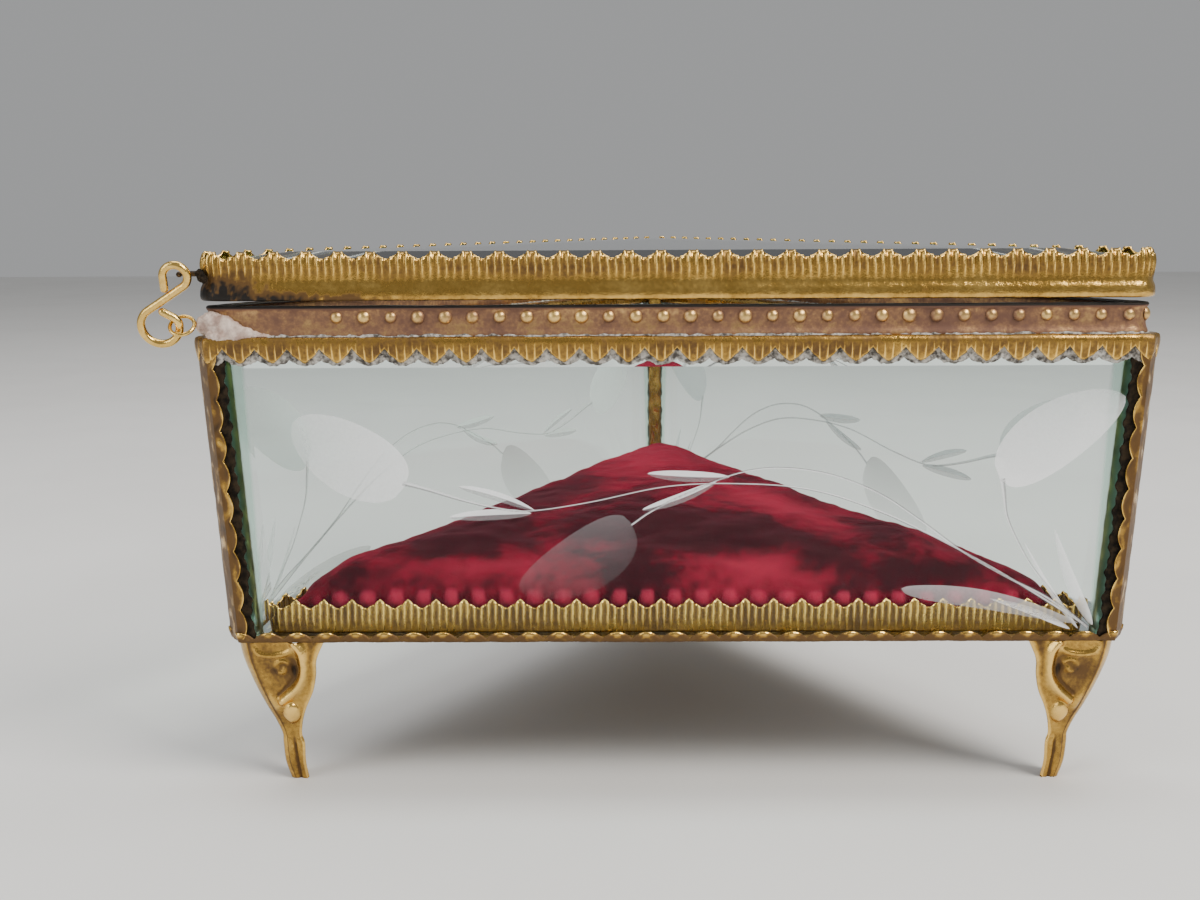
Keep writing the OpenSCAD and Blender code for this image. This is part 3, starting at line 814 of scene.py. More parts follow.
def smoothstep(x, low, high):
    t = np.clip((x - low) / (high - low), 0, 1)
    return t * t * (3 - 2 * t)


def stacked(*coordinates):
    """Points from arrays of x, y and z that broadcast together."""
    return np.stack(np.broadcast_arrays(*coordinates), axis=-1)


def stand(piece, corner, thick):
    """Turns a sheet piece made at the back to its own corner, and makes it thick."""
    turn_about(piece.data, corner)
    piece.data.flip_normals()
    return finish_with(piece, ("SOLIDIFY", {"thickness": thick * MM, "offset": -1.0}))


def close_up(obj):
    """Welds a mesh, fills its open ends and turns its faces outwards."""
    mesh = bmesh.new()
    mesh.from_mesh(obj.data)
    bmesh.ops.remove_doubles(mesh, verts=mesh.verts, dist=1e-7)
    bmesh.ops.holes_fill(mesh, edges=[e for e in mesh.edges if e.is_boundary], sides=0)
    bmesh.ops.recalc_face_normals(mesh, faces=mesh.faces)
    for f in mesh.faces:
        f.smooth = True
    mesh.to_mesh(obj.data)
    mesh.free()
    return obj

# %% [markdown]
# A corner post is one strip bent twice: flat across the corner, with a scalloped lap folded on
# to the glass at each side.

# %% The fold of a post
POST_PITCH = 4.9 * MM
POST_LAP = 2.6 * MM
POST_ROWS, SHADE_GRIME_ROWS, INNER_ROWS = 260, 160, 200


def post_levels(steps):
    """Heights up a post, and how far out the walls' planes meet at each."""
    lo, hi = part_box("corner_post_back")
    z = np.linspace(lo.z, hi.z, steps)[:, None]
    return z, z - lo.z, 2 * (body_r0 + (z - low_lo.z) * math.tan(panel_lean))


def corner_fold(across, inset, lap, steps):
    """A strip across one corner with a lap at each side. lap gives its width at each height."""
    z, height, reach = post_levels(steps)
    side = np.sign(across)
    over = np.clip(np.abs(across) - 1, 0, 1)
    wide = over * lap(height)
    x = side * (np.minimum(np.abs(across), 1) * post_w / 2 + wide * 0.5 - inset * 0.5)
    y = reach - post_w * COS30 - inset - wide * COS30 + 0 * across
    return x, y, z


def scalloped(height):
    phase = np.abs((height / POST_PITCH) % 1 - 0.5) * 2
    return POST_LAP * (0.32 + 0.32 * (1 - phase ** 2.0))


def lined(height):
    return 2.4 * MM + 0.2 * MM * np.sin(height / MM * 1.3) + 0.15 * MM * np.sin(height / MM * 3.1)


print("a post is", round(float(post_levels(POST_ROWS)[1].max()) / MM, 1), "mm high")

# %% [markdown]
# Behind each lap a near-black strip lies on the glass: painted shade of the gap under the lap, and the dirt
# that has settled there. Inside, a narrow strip closes the corner. Every post is made at the back corner,
# where x runs across it, and turned to its own.

# %% Corner posts
POST_SHEET = 0.25
INNER_W = {"back": 2.7 * MM, "left": 1.2 * MM, "right": 1.2 * MM}


def post_grain(across, z, seed):
    return np.array([[noise.noise(Vector((a * 1.5, h * 420, seed))) for a in across[0]] for h in z[:, 0]])


def inner_strip(corner):
    """The strip that closes the corner inside, between the two panels' inner faces."""
    z, height, reach = post_levels(INNER_ROWS)
    across = np.linspace(-1, 1, 15)[None]
    wide = INNER_W[CORNERS[corner]]
    ragged = 1 + 0.1 * np.abs(np.sin(height / POST_PITCH * math.pi))
    grain = post_grain(across, z, corner * 5 + 2)
    y = reach - 2 * (0.5 * MM + glass_t) - wide * 0.93 + 0.1 * MM * grain
    # The strip's edges are painted darker, as shade where it meets the panels.
    crest = 0.4 + 0.5 * grain - 0.3 * smoothstep(np.abs(across), 0.6, 0.9)
    return surface(f"corner_post_{CORNERS[corner]}.inner", stacked(across * wide * ragged / 2, y, z), gilt,
                   attributes={"crest": crest})


def corner_post(corner):
    name = f"corner_post_{CORNERS[corner]}"
    lap = np.linspace(1, 2, 9)
    across = np.concatenate([-lap[::-1], np.linspace(-0.93, 0.93, 11), lap])[None]
    over = np.clip(np.abs(across) - 1, 0, 1)
    x, y, z = corner_fold(across, 0.0, scalloped, POST_ROWS)
    bow = 0.12 * MM * (1 - np.minimum(np.abs(across), 1) ** 2)
    grain = post_grain(across, z, corner * 7)
    raised = 0.22 * MM * smoothstep(over, 0.6, 1.0) + 0.14 * MM * grain
    points = stacked(x + np.sign(across) * raised * 0.87, y + bow + raised * 0.5, z)
    crest = 0.02 + 0.7 * grain + 0.6 * smoothstep(over, 0.8, 1.0)
    post = surface(name + ".strip", points, gilt, attributes={"crest": crest})
    adopt(stand(post, corner, POST_SHEET), "casket", "gilt_brass", name)
    # Dark strips behind the laps: painted shade of the gap, with settled dirt
    for hand, way in (("left", np.linspace(-2, -1.2, 7)), ("right", np.linspace(1.2, 2, 7))):
        inside = stacked(*corner_fold(way[None], 0.36 * MM, lined, SHADE_GRIME_ROWS))
        shade_grime = surface(f"{name}.grime_{hand}", inside, soot)
        adopt(stand(shade_grime, corner, POST_SHEET), "casket", "dark_brass")
    adopt(stand(inner_strip(corner), corner, POST_SHEET), "casket", "gilt_brass")
    return post


posts = [corner_post(k) for k in range(3)]
print("corner posts:", [p.name for p in posts])

# %% [markdown]
# Each foot is pressed from one piece and folded down its middle, so both wings carry the same
# ornament in mirror image: a raised C-scroll, a curled volute, a rim along the fold and a round
# boss at the ankle. The ornament is a height field, added along the wing's outward normal.

# %% Foot ornament
# Height, distance out, width of the fold and width of a wing, in millimetres
LEG_LEVELS = [(25.2, 81.9, 4.0, 12.7), (22, 81.3, 4.0, 10.8), (19, 80.3, 3.6, 9.7), (16, 79.1, 3.2, 8.0),
              (13, 77.7, 2.4, 5.6), (10.5, 76.4, 1.9, 3.7), (8, 75.4, 1.5, 2.4), (6.3, 75.3, 1.6, 2.8),
              (3, 75.0, 1.7, 2.5), (0, 74.1, 1.7, 2.0)]
# Ornament lines, as distance from the wing's upper inner corner and height
C_SCROLL = [(4.8, 24.8), (3.8, 23.2), (3.5, 20.6), (3.9, 18.6), (4.9, 16.9), (6.3, 15.5), (7.6, 14.3)]
TOP_ARCH = [(4.8, 24.6), (5.6, 23.5), (7.0, 22.9), (9.0, 22.7), (10.8, 23.1), (11.9, 24.6)]
FOLD_RIM = [(12.0, 24.8), (11.9, 22.5), (11.6, 20.0), (10.7, 17.2), (9.6, 15.0), (8.6, 13.4)]
LOOSE_LINE = [(5.2, 20.2), (5.3, 18.9), (6.4, 17.3), (8.2, 15.5)]
VOLUTE_AT = (7.2, 20.5)
BOSS_AT = (6.3, 12.1)


def away_from(line, x, z):
    """Distance of each point from a line of short straight steps."""
    best = np.full(x.shape, 1e9)
    for (x0, z0), (x1, z1) in zip(line[:-1], line[1:]):
        dx, dz = x1 - x0, z1 - z0
        t = np.clip(((x - x0) * dx + (z - z0) * dz) / (dx * dx + dz * dz), 0, 1)
        best = np.minimum(best, np.hypot(x - x0 - t * dx, z - z0 - t * dz))
    return best


def ridge_along(points, x, z, width, steps=24):
    return np.exp(-(away_from(through(points, steps), x, z) / width) ** 2)


def leg_ornament(x, z):
    """Height of the pressed ornament in millimetres, and its wear."""
    turns = np.linspace(0, 1.7 * math.pi, 30)
    radius = 1.5 - 0.95 * turns / turns[-1]
    curl = np.stack([VOLUTE_AT[0] + radius * np.cos(2.6 - turns),
                     VOLUTE_AT[1] + radius * np.sin(2.6 - turns)], 1)
    volute = np.exp(-(away_from(curl, x, z) / 0.5) ** 2)
    scroll = ridge_along(C_SCROLL, x, z, 0.8)
    arch = ridge_along(TOP_ARCH, x, z, 0.55)
    rim = ridge_along(FOLD_RIM, x, z, 0.7)
    boss = (np.abs(x - BOSS_AT[0]) / 1.6) ** 1.7 + (np.abs(z - BOSS_AT[1]) / 2.1) ** 1.7
    boss = np.clip(1 - boss, 0, 1) ** 0.6
    pits = np.exp(-(((x - 5.3) / 0.55) ** 2 + ((z - 20.3) / 1.2) ** 2))
    pits = pits + 0.8 * np.exp(-(((x - 8.35) / 0.5) ** 2 + ((z - 20.0) / 0.6) ** 2))
    line = ridge_along(LOOSE_LINE, x, z, 0.3)
    field = np.exp(-(((x - 8.0) / 3.4) ** 4 + ((z - 19.4) / 4.0) ** 4))
    groove = np.exp(-((x - 5.6 - 0.1 * z) / 0.28) ** 2) * smoothstep(z, 8.4, 6.0)
    leaf = np.exp(-((z - 5.2) / 3.0) ** 2)
    raised = np.maximum.reduce([1.0 * scroll, 0.5 * arch, 0.55 * rim, 0.5 * volute, 1.05 * boss])
    height = raised - 0.4 * field - 0.4 * pits - 0.25 * line - 0.3 * groove + 0.25 * leaf
    flange = smoothstep(x, 3.4, 2.2) * smoothstep(z, 12.0, 15.0)
    worn = 0.38 + 0.55 * raised - 0.9 * pits - 0.4 * line - 0.2 * field - 0.4 * groove - 0.3 * flange
    return height, np.clip(worn, -0.5, 1)


x, z = np.meshgrid(np.linspace(0, 12, 60), np.linspace(0, 25, 60))
print("ornament stands up to", round(float(leg_ornament(x, z)[0].max()), 2), "mm")

# %% [markdown]
# The foot itself is one grid of points: a wing, the narrow fold and the other wing. The same
# ornament lies on both wings, and their free edges turn up a little.

# %% Feet
LEG_ROWS, WING_STEPS, FOLD_STEPS = 170, 44, 11
LEG_SHEET = 0.55


def leg(corner):
    levels = through(LEG_LEVELS[::-1], LEG_ROWS)
    z, far, fold, wing = (levels[:, k][:, None] for k in range(4))
    wing_over, wing_side = np.linspace(0, 1, WING_STEPS), np.ones(WING_STEPS)
    over = np.concatenate([wing_over[::-1], np.zeros(FOLD_STEPS), wing_over])[None]
    across = np.concatenate([-wing_side, np.linspace(-0.85, 0.85, FOLD_STEPS), wing_side])[None]
    side = np.sign(across)
    x = across * fold / 2 + side * over * wing * 0.5
    y = far - over * wing * COS30 + 0 * across
    top_fold = LEG_LEVELS[0][2] / 4 - LEG_LEVELS[0][1] * COS30
    fold_at = LEG_LEVELS[0][3] - (fold / 4 - far * COS30 - top_fold)
    lift, crest = leg_ornament(fold_at - over * wing, z + 0 * over)
    on_wing = smoothstep(over, 0.0, 0.12)
    edge = smoothstep(over, 0.88, 1.0)
    lift = lift * on_wing + 0.16 * edge
    bow = 0.35 * np.cos(np.clip(across, -1, 1) * math.pi / 2) * (np.abs(across) < 0.99)
    x = x + side * lift * 0.866
    y = y + lift * 0.5 + bow
    points = stacked(x, y, z) * MM
    worn = np.clip(crest * on_wing * (1 - edge) + 0.75 * edge + 0.5 * (over == 0), -0.5, 1)
    piece = surface(f"leg_{CORNERS[corner]}.pressed", points, gilt,
                    attributes={"crest": np.broadcast_arrays(worn, x)[0]})
    return adopt(stand(piece, corner, LEG_SHEET), "casket", "gilt_brass", f"leg_{CORNERS[corner]}")


legs = [leg(k) for k in range(3)]
print("foot faces:", len(legs[0].data.polygons))

# %% [markdown]
# The hook is one length of round wire. A tube is rings of points carried along a middle line;
# each ring keeps its turn from the last one, so the wire doesn't twist, and the ends close in
# small domes.

# %% Wire
# Only starts the rings' turn; no wire here begins along it
ANY_WAY = (0.3, 0.2, 0.93)


def tube(name, line, radius, finish, sides=20, closed=False, wobble=0.0, seed=0):
    """A round wire along a line of points, its ends domed."""
    line = np.asarray(line, float)
    if closed:
        ahead, behind = np.roll(line, -1, 0), np.roll(line, 1, 0)
    else:
        ahead, behind = np.vstack([line[1:], line[-1:]]), np.vstack([line[:1], line[:-1]])
    way = ahead - behind
    way /= np.linalg.norm(way, axis=1)[:, None]
    first = np.cross(way[0], ANY_WAY)
    across = [first / np.linalg.norm(first)]
    for w in way[1:]:
        a = across[-1] - w * across[-1].dot(w)
        across.append(a / np.linalg.norm(a))
    across = np.array(across)
    upward = np.cross(way, across)
    size = np.full(len(line), radius)
    if not closed:
        caps = np.radians([85, 70, 50, 30, 12])
        start = [line[0] - way[0] * radius * math.sin(a) for a in caps]
        stop = [line[-1] + way[-1] * radius * math.sin(a) for a in caps[::-1]]
        line = np.vstack([start, line, stop])
        pick = [0] * len(caps) + list(range(len(size))) + [-1] * len(caps)
        across, upward, size = across[pick], upward[pick], size[pick]
        size[:len(caps)] *= np.cos(caps)
        size[-len(caps):] *= np.cos(caps[::-1])
    angle = np.linspace(0, 2 * math.pi, sides, endpoint=False)[None, :, None]
    grain = np.array([[noise.noise(Vector(p) * 900 + Vector((seed, k, 0))) for k in range(sides)]
                      for p in line])
    spread = size[:, None, None] * (1 + wobble * grain[:, :, None])
    points = line[:, None] + spread * (np.cos(angle) * across[:, None] + np.sin(angle) * upward[:, None])
    if closed:
        points = np.vstack([points, points[:1]])
    return close_up(surface(name, points, finish, closed=True))


def arc(centre, radius, start, stop, count):
    a = np.radians(np.linspace(start, stop, count))
    return np.stack([centre[0] + radius * np.cos(a), centre[1] + radius * np.sin(a)], 1)

# %% [markdown]
# The S-hook leans forwards on its eye. Its middle line is drawn flat, as it was bent: a tail, a
# tight bend in the eye, the open lower loop, a straight shank and the small upper loop.

# %% Latch
latch_joint = next(j for j in frame["joints"] if j["name"] == "latch_swing")
HOOK_AT = Vector(latch_joint["pos_m"])
HOOK_WIRE = 0.65
HOOK_LEAN = math.radians(16)
LOW_LOOP, TOP_LOOP, BEND = 3.0, 1.9, 1.6
TAIL, TIP = 1.8, 1.9
TOP_AT = (0.3, 8.0)
EYE_R, EYE_WIRE, EYE_OUT = 1.9 * MM, 0.3 * MM, 0.4 * MM


def hook_line():
    low_at, bend_at = (-LOW_LOOP, 0.0), (-BEND, 0.0)
    run, rise = TOP_AT[0] - low_at[0], TOP_AT[1] - low_at[1]
    shank = math.degrees(math.atan2(rise, run) - math.asin((LOW_LOOP + TOP_LOOP) / math.hypot(run, rise)))
    bend_top = arc(bend_at, BEND, 60, 60, 1)
    tail_end = bend_top + TAIL * np.array([[math.cos(math.radians(150)), math.sin(math.radians(150))]])
    tail = np.vstack([tail_end * (1 - t) + bend_top * t for t in (0, 0.35, 0.7)])
    upper = arc(TOP_AT, TOP_LOOP, shank - 90, 180, 50)
    tip = upper[-1] - [[0.0, 0.65], [0.0, 1.3], [0.0, TIP]]
    lower = arc(low_at, LOW_LOOP, 0, shank - 270, 60)
    return np.vstack([tail, arc(bend_at, BEND, 60, 4, 14), lower, upper, tip])


def latch_hook():
    flat = hook_line() * MM
    lean = Matrix.Rotation(HOOK_LEAN, 3, "X") @ Matrix.Rotation(math.pi / 2, 3, "X")
    line = [HOOK_AT + lean @ Vector((x, y, 0)) for x, y in flat]
    hook = tube("latch_hook.wire", line, HOOK_WIRE * MM, hook_gilt, wobble=0.035, seed=3)
    return adopt(hook, "latch", "hook_brass", "latch_hook")


def latch_eye():
    middle = HOOK_AT + Vector((EYE_OUT, 0, 0))
    tilt = Matrix.Rotation(math.radians(45), 3, "X")
    line = [middle + tilt @ Vector((EYE_R * math.cos(a), EYE_R * math.sin(a), 0))
            for a in np.linspace(0, 2 * math.pi, 64, endpoint=False)]
    ring = tube("latch_eye.ring", line, EYE_WIRE, hook_gilt, sides=14, closed=True, wobble=0.08)
    return adopt(ring, "casket", "gilt_brass", "latch_eye")


wires = [latch_hook(), latch_eye()]
print("latch:", {p.name: len(p.data.polygons) for p in wires})

# %% [markdown]
# Where a wire is soldered to a strip, a rough lump stays. A few balls run together into one
# closed skin, and noise breaks it up.

# %% Solder and crust
def lump(name, balls, finish, voxel=0.35, rough=0.35):
    """Balls run together into one rough lump. Each is a place and three radii in millimetres."""
    made = bmesh.new()
    for ball in balls:
        x, y, z, rx, ry, rz = (value * MM for value in ball)
        place = Matrix.Translation((x, y, z)) @ Matrix.Diagonal((rx, ry, rz, 1))
        bmesh.ops.create_icosphere(made, subdivisions=3, radius=1.0, matrix=place)
    mesh = bpy.data.meshes.new(name)
    made.to_mesh(mesh)
    made.free()
    obj = add(name, mesh)
    finish_with(obj, ("REMESH", {"mode": "VOXEL", "voxel_size": voxel * MM}),
                ("SMOOTH", {"factor": 0.5, "iterations": 6}), ("SUBSURF", {"levels": 1}))
    for v in obj.data.vertices:
        p = v.co / MM
        v.co += v.normal * rough * MM * (noise.noise(p * 1.1) + 0.6 * noise.noise(p * 2.9))
    obj.data.polygons.foreach_set("use_smooth", [True] * len(obj.data.polygons))
    paint(obj, finish)
    return obj


def latch_solder():
    lo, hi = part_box("latch_solder")
    x, y, z = (lo + hi) / 2 / MM
    balls = [(x - 0.1, y - 0.4, z + 0.2, 1.4, 1.6, 1.7), (x + 1.4, y - 1.2, z + 0.6, 1.9, 1.3, 1.8),
             (x + 3.0, y - 1.7, z + 0.2, 2.0, 1.0, 1.7), (x + 4.6, y - 1.8, z - 0.5, 2.0, 0.9, 1.3),
             (x + 6.4, y - 1.8, z - 1.1, 2.2, 0.8, 0.9), (x + 8.6, y - 1.8, z - 1.5, 2.2, 0.7, 0.5),
             (x + 2.4, y - 1.9, z - 1.6, 2.3, 1.0, 1.0), (x + 5.0, y - 2.0, z - 1.8, 2.2, 0.8, 0.7)]
    return adopt(lump("latch_solder.lump", balls, solder, rough=0.22), "casket", "solder", "latch_solder")


def crust():
    """Black crust where the catch was soldered to the lid."""
    lo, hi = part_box("lid_catch")
    x, y, z = hi.x / MM, (lo.y + hi.y) / 2 / MM, (lo.z + hi.z) / 2 / MM
    balls = [(x + 0.2, y + 0.1, z, 0.75, 0.7, 0.9), (x + 0.8, y - 0.3, z - 0.7, 0.8, 0.7, 0.9)]
    return adopt(lump("lid_catch.crust", balls, soot, 0.25, 0.25), "lid", "dark_brass")


lumps = [latch_solder(), crust()]
print("lumps:", {p.name: len(p.data.polygons) for p in lumps})

# %% [markdown]
# Old solder and polish stay where cloths don't reach: on the glass under the teeth, and along
# the rim's foot. The first is one more toothed strip, a little longer than the teeth.

# %% Residue
def under_teeth():
    section = [(-0.4, -1.4), (-0.45, -2.6), (-0.52, -3.6), (-0.6, -4.3)]
    first = strip("residue.strip", cut_side(body_r1, post_w), section, rail_hi.z, residue, 0.12, Columns=901,
                  Rows=12, Teeth=30.0, Tooth_Depth=0.34, Tooth_Point=1.5, Tooth_Round=0.8, Ragged=0.5,
                  Unevenness=0.5 * MM, Seed=7.0, **NO_RIBS)
    return on_each_side(first, "top_rail_{}.residue", "gilt_brass")


def rim_foot():
    ring = np.array(round_triangle(rim_r - 0.15 * MM, corner_r))
    ring = np.vstack([ring, ring[:1]])
    far = np.concatenate([[0], np.cumsum(np.linalg.norm(np.diff(ring, axis=0), axis=1))])
    spots = np.linspace(0, far[-1], 700, endpoint=False)
    x, y = (np.interp(spots, far, ring[:, k]) for k in range(2))
    z = rim_lo.z + 0.15 * MM + 0 * x
    bead = tube("rim_band.residue", np.stack([x, y, z], 1), 0.42 * MM, residue, sides=8, closed=True,
                wobble=0.9, seed=3)
    return adopt(bead, "casket", "gilt_brass")


streaks = under_teeth() + [rim_foot()]
print("residue:", [p.name for p in streaks])

# %% [markdown]
# The pad is stuffed velvet, tacked to a card and squeezed in by the band. Its shape is drawn
# first: steep rounded sides, a top that rises towards the back, and a sag at the front right.

# %% Shape of the cushion
PAD_EDGE_Z = 31.0
PAD_SIDE_H = 6.0
PAD_RISE = 0.07
TOOTH_PITCH = 4.6
SIDE_WAYS = [np.array([math.cos(a), math.sin(a), 0.0]) for a in np.radians([-90, 30, 150])]


def side_depth(x, y, r):
    """How far inside each of the three sides a point lies, in millimetres."""
    return np.array([r - (x * way[0] + y * way[1]) for way in SIDE_WAYS])


def pad_height(x, y, r):
    depth = np.clip(side_depth(x, y, r), 0, None)
    d = -np.log(np.exp(-depth / 2.5).sum(0)) * 2.5
    d = np.clip(d, 0, None)
    sag = 1.6 * np.exp(-((x - 38) / 22) ** 2 - ((y + 30) / 14) ** 2)
    swell = PAD_RISE * (y + 38) * (1 - np.exp(-d / 3))
    return PAD_EDGE_Z + PAD_SIDE_H * (1 - np.exp(-d / 1.9)) + swell - sag * (1 - np.exp(-d / 3))


def cushion_blank(shrink):
    r = -pad_lo.y / MM - shrink
    rings = np.array(round_triangle(r, 4.0, 14))
    rings = through(np.vstack([rings, rings[:1]]), 240)[:-1]
    low_z = pad_lo.z / MM + 0.3
    shares = [1.0, 0.995, 0.985, 0.97, 0.95, 0.92, 0.88, 0.82, 0.74, 0.64, 0.52, 0.4, 0.28, 0.16, 0.06]
    rows = [np.column_stack([rings, np.full(len(rings), low_z)]),
            np.column_stack([rings, np.full(len(rings), PAD_EDGE_Z - 1.0)])]
    for share in shares:
        flat = rings * share
        top = pad_height(flat[:, 0], flat[:, 1], r + 0.2) - shrink
        rows.append(np.column_stack([flat, top]))
    return close_up(surface("cushion.velvet", np.array(rows) * MM, board, closed=True))


blank = cushion_blank(0.5)
print("cushion before stuffing:", len(blank.data.polygons), "faces")

# %% [markdown]
# A drawn shape never looks stuffed, so it is blown up a little by a cloth simulation with air
# pressure, which rounds the sides and gives the slow hollows that stuffing leaves.

# %% Stuffing
STUFFING = {"quality": 6, "mass": 0.15, "use_pressure": True, "uniform_pressure_force": 4.0,
            "vertex_group_mass": "held", "tension_stiffness": 18, "compression_stiffness": 12,
            "bending_stiffness": 0.4}
PUFF_FRAMES = 20


def puff(obj, voxel, most):
    """Blows a closed mesh up with cloth pressure, and caps how far each point may move."""
    finish_with(obj, ("REMESH", {"mode": "VOXEL", "voxel_size": voxel}))
    rest = np.array([v.co for v in obj.data.vertices])
    held = obj.vertex_groups.new(name="held")
    held.add([i for i, p in enumerate(rest) if p[2] < pad_lo.z + 2.2 * MM], 1.0, "REPLACE")
    cloth = obj.modifiers.new("cloth", "CLOTH")
    for key, value in STUFFING.items():
        setattr(cloth.settings, key, value)
    cloth.settings.effector_weights.gravity = 0
    cloth.collision_settings.use_self_collision = False
    scene = bpy.context.scene
    for frame_number in range(1, PUFF_FRAMES + 1):
        scene.frame_set(frame_number)
    view = bpy.context.evaluated_depsgraph_get()
    moved = bpy.data.meshes.new_from_object(obj.evaluated_get(view), depsgraph=view)
    blown = np.array([v.co for v in moved.vertices])
    obj.modifiers.clear()
    obj.vertex_groups.clear()
    step = blown - rest
    length = np.linalg.norm(step, axis=1)[:, None]
    step *= np.minimum(1, most / np.maximum(length, 1e-9))
    obj.data.vertices.foreach_set("co", (rest + step).reshape(-1))
    obj.data.update()
    scene.frame_set(1)
    print("cushion moved by up to", round(float(np.linalg.norm(step, axis=1).max()) * 1000, 2), "mm")
    return obj


pad = puff(blank, 3.0 * MM, 1.6 * MM)
print("cushion after stuffing:", len(pad.data.polygons), "faces")

# %% [markdown]
# Velvet looks dark where its nap lies flat and bright where it stands to the light, so its
# colour comes from patches of crushed nap at four sizes, with a thin sheen over them.

# %% Velvet
def velvet_material():
    made, net = material("velvet")
    place = net.place()
    slow = net.noise(34, 2, 0.5, place)
    crush = net.noise(150, 5, 0.62, net.vector("ADD", place, net.xyz(slow * 0.02, slow * 0.03, 0.0)))
    tufts = net.noise(620, 4, 0.65, place)
    nap = net.noise(2600, 3, 0.6, place)
    brushed = net.attribute("brushed") * 0.13 + slow * 0.38 + crush * 0.42 + tufts * 0.2
    deep = net.mix(net.ramp(brushed, 0.4, 0.56), (0.007, 0.0004, 0.0015), (0.15, 0.003, 0.014))
    colour = net.mix(net.ramp(brushed, 0.48, 0.76, 0.0, 0.9), deep, (0.34, 0.015, 0.042))
    lobe = net.attribute("lobe")
    # Painted shade where the velvet tucks under the band, then painted highlight on the lobes
    colour = net.mix(net.ramp(0 - lobe, 0.0, 0.8, 0.0, 0.8), colour, (0.009, 0.0005, 0.002))
    colour = net.mix(net.ramp(lobe, 0.1, 0.9, 0.0, 0.9), colour, (0.42, 0.024, 0.062))
    net.dress(Base_Color=net.mix(net.ramp(nap, 0.3, 0.7, 0.0, 0.1), colour, (0.42, 0.02, 0.06)),
              Roughness=net.ramp(crush, 0.2, 0.8, 0.7, 0.95), Specular_IOR_Level=0.04,
              Sheen_Weight=0.16, Sheen_Roughness=0.4, Sheen_Tint=(1.0, 0.12, 0.24, 1),
              Normal=net.bump(crush + nap * 0.2, 0.45, 0.9 * MM))
    return made


velvet = velvet_material()
print("velvet:", len(velvet.node_tree.nodes), "nodes")

# %% [markdown]
# The stuffed cushion is smoothed and trimmed to its measured outline. Then the pile bulges out in
# small lobes between the band's scallops, and a few strokes of a hand are stored on the points.
# The lobes carry a painted highlight, and the velvet tucked under the band a painted shade.

# %% Velvet cushion
# Places where a hand brushed the nap: x, y, half length, half width, angle and strength
BRUSHED = [
    (-33, -33, 13, 2.6, 0, 1.3), (-30, -8, 28, 7, 66, -1.2), (-3, 32, 12, 20, 0, 1.0),
    (4, -18, 24, 8, -8, -1.3), (23, -8, 24, 5, -59, 1.2), (15, -33, 12, 2.6, -8, 0.9),
    (40, -34, 12, 4, 0, -1.2), (-6, -34, 6, 4, 0, -0.9), (-52, -35, 9, 3, 0, -0.9)]


def brushing(rest):
    """How each point's nap lies: above zero it stands to the light, below zero it looks dark."""
    lie = np.zeros(len(rest))
    for x, y, length, width, angle, strength in BRUSHED:
        c, n = math.cos(math.radians(angle)), math.sin(math.radians(angle))
        along = ((rest[:, 0] - x) * c + (rest[:, 1] - y) * n) / length
        aside = ((rest[:, 1] - y) * c - (rest[:, 0] - x) * n) / width
        lie += strength * np.exp(-along ** 2 - aside ** 2)
    return np.clip(lie, -1.2, 1.2)


def press_lobes(obj):
    """Pushes the velvet out between the band's scallops, and crushes its top a little."""
    rest = np.array([v.co for v in obj.data.vertices]) / MM
    out = np.zeros_like(rest)
    bright = np.zeros(len(rest))
    depths = side_depth(rest[:, 0], rest[:, 1], -pad_lo.y / MM)
    for side, way in enumerate(SIDE_WAYS):
        along = rest[:, 1] * way[0] - rest[:, 0] * way[1]
        valley = np.abs((along / TOOTH_PITCH) % 1 - 0.5) * 2
        near = smoothstep(depths[side], 3.2, 0.3) * smoothstep(np.abs(along), 62, 58)
        high = smoothstep(rest[:, 2], 28.8, 30.0) * smoothstep(rest[:, 2], 36.2, 33.6)
        push = (1.9 * valley ** 1.2 - 0.4) * near * high
        out += push[:, None] * (way + [0, 0, 0.25])
        # The lobes get a painted highlight, and the velvet tucked under the band a painted shade.
        bright = np.maximum(bright, smoothstep(valley, 0.25, 0.6) * near * high)
        tucked = smoothstep(depths[side], 6.5, 2.0) * smoothstep(rest[:, 2], 31, 33)
        bright -= 0.8 * tucked * (1 - bright)
    top = smoothstep(rest[:, 2], 33, 37)
    dents = np.array([0.55 * noise.noise(Vector(p) * 0.09) + 0.3 * noise.noise(Vector(p) * 0.27)
                      + 0.1 * noise.noise(Vector(p) * 0.8) for p in rest])
    out[:, 2] += dents * top * 1.3
    obj.data.vertices.foreach_set("co", ((rest + out) * MM).reshape(-1))
    for key, values in (("lobe", bright), ("brushed", brushing(rest))):
        obj.data.attributes.new(key, "FLOAT", "POINT").data.foreach_set("value", values.astype(np.float32))
    obj.data.update()


def velvet_cushion(pad):
    finish_with(pad, ("SUBSURF", {"levels": 2, "render_levels": 2}))
    fit = np.array([v.co for v in pad.data.vertices])
    limit = -pad_lo.y - 0.15 * MM
    for way in SIDE_WAYS:
        fit -= np.clip(fit @ way - limit, 0, None)[:, None] * way
    fit[:, 2] = np.maximum(fit[:, 2], pad_lo.z)
    pad.data.vertices.foreach_set("co", fit.reshape(-1))
    press_lobes(pad)
    paint(pad, velvet)
    pad.data.polygons.foreach_set("use_smooth", [True] * len(pad.data.polygons))
    return adopt(pad, "casket", "velvet", "cushion")


cushion = velvet_cushion(pad)
print("cushion top at", round(max(v.co.z for v in cushion.data.vertices) * 1000, 1), "mm")

# %% [markdown]
# The spray on each panel is wheel-cut: a stone ground shallow hollows into the glass and left
# them frosted. Each petal, leaf and stem is a thin skin that lies on the glass like the cut
# itself. Light catches one bank of a cut more than the other, so an attribute across each cut
# fades it from bright to clear.

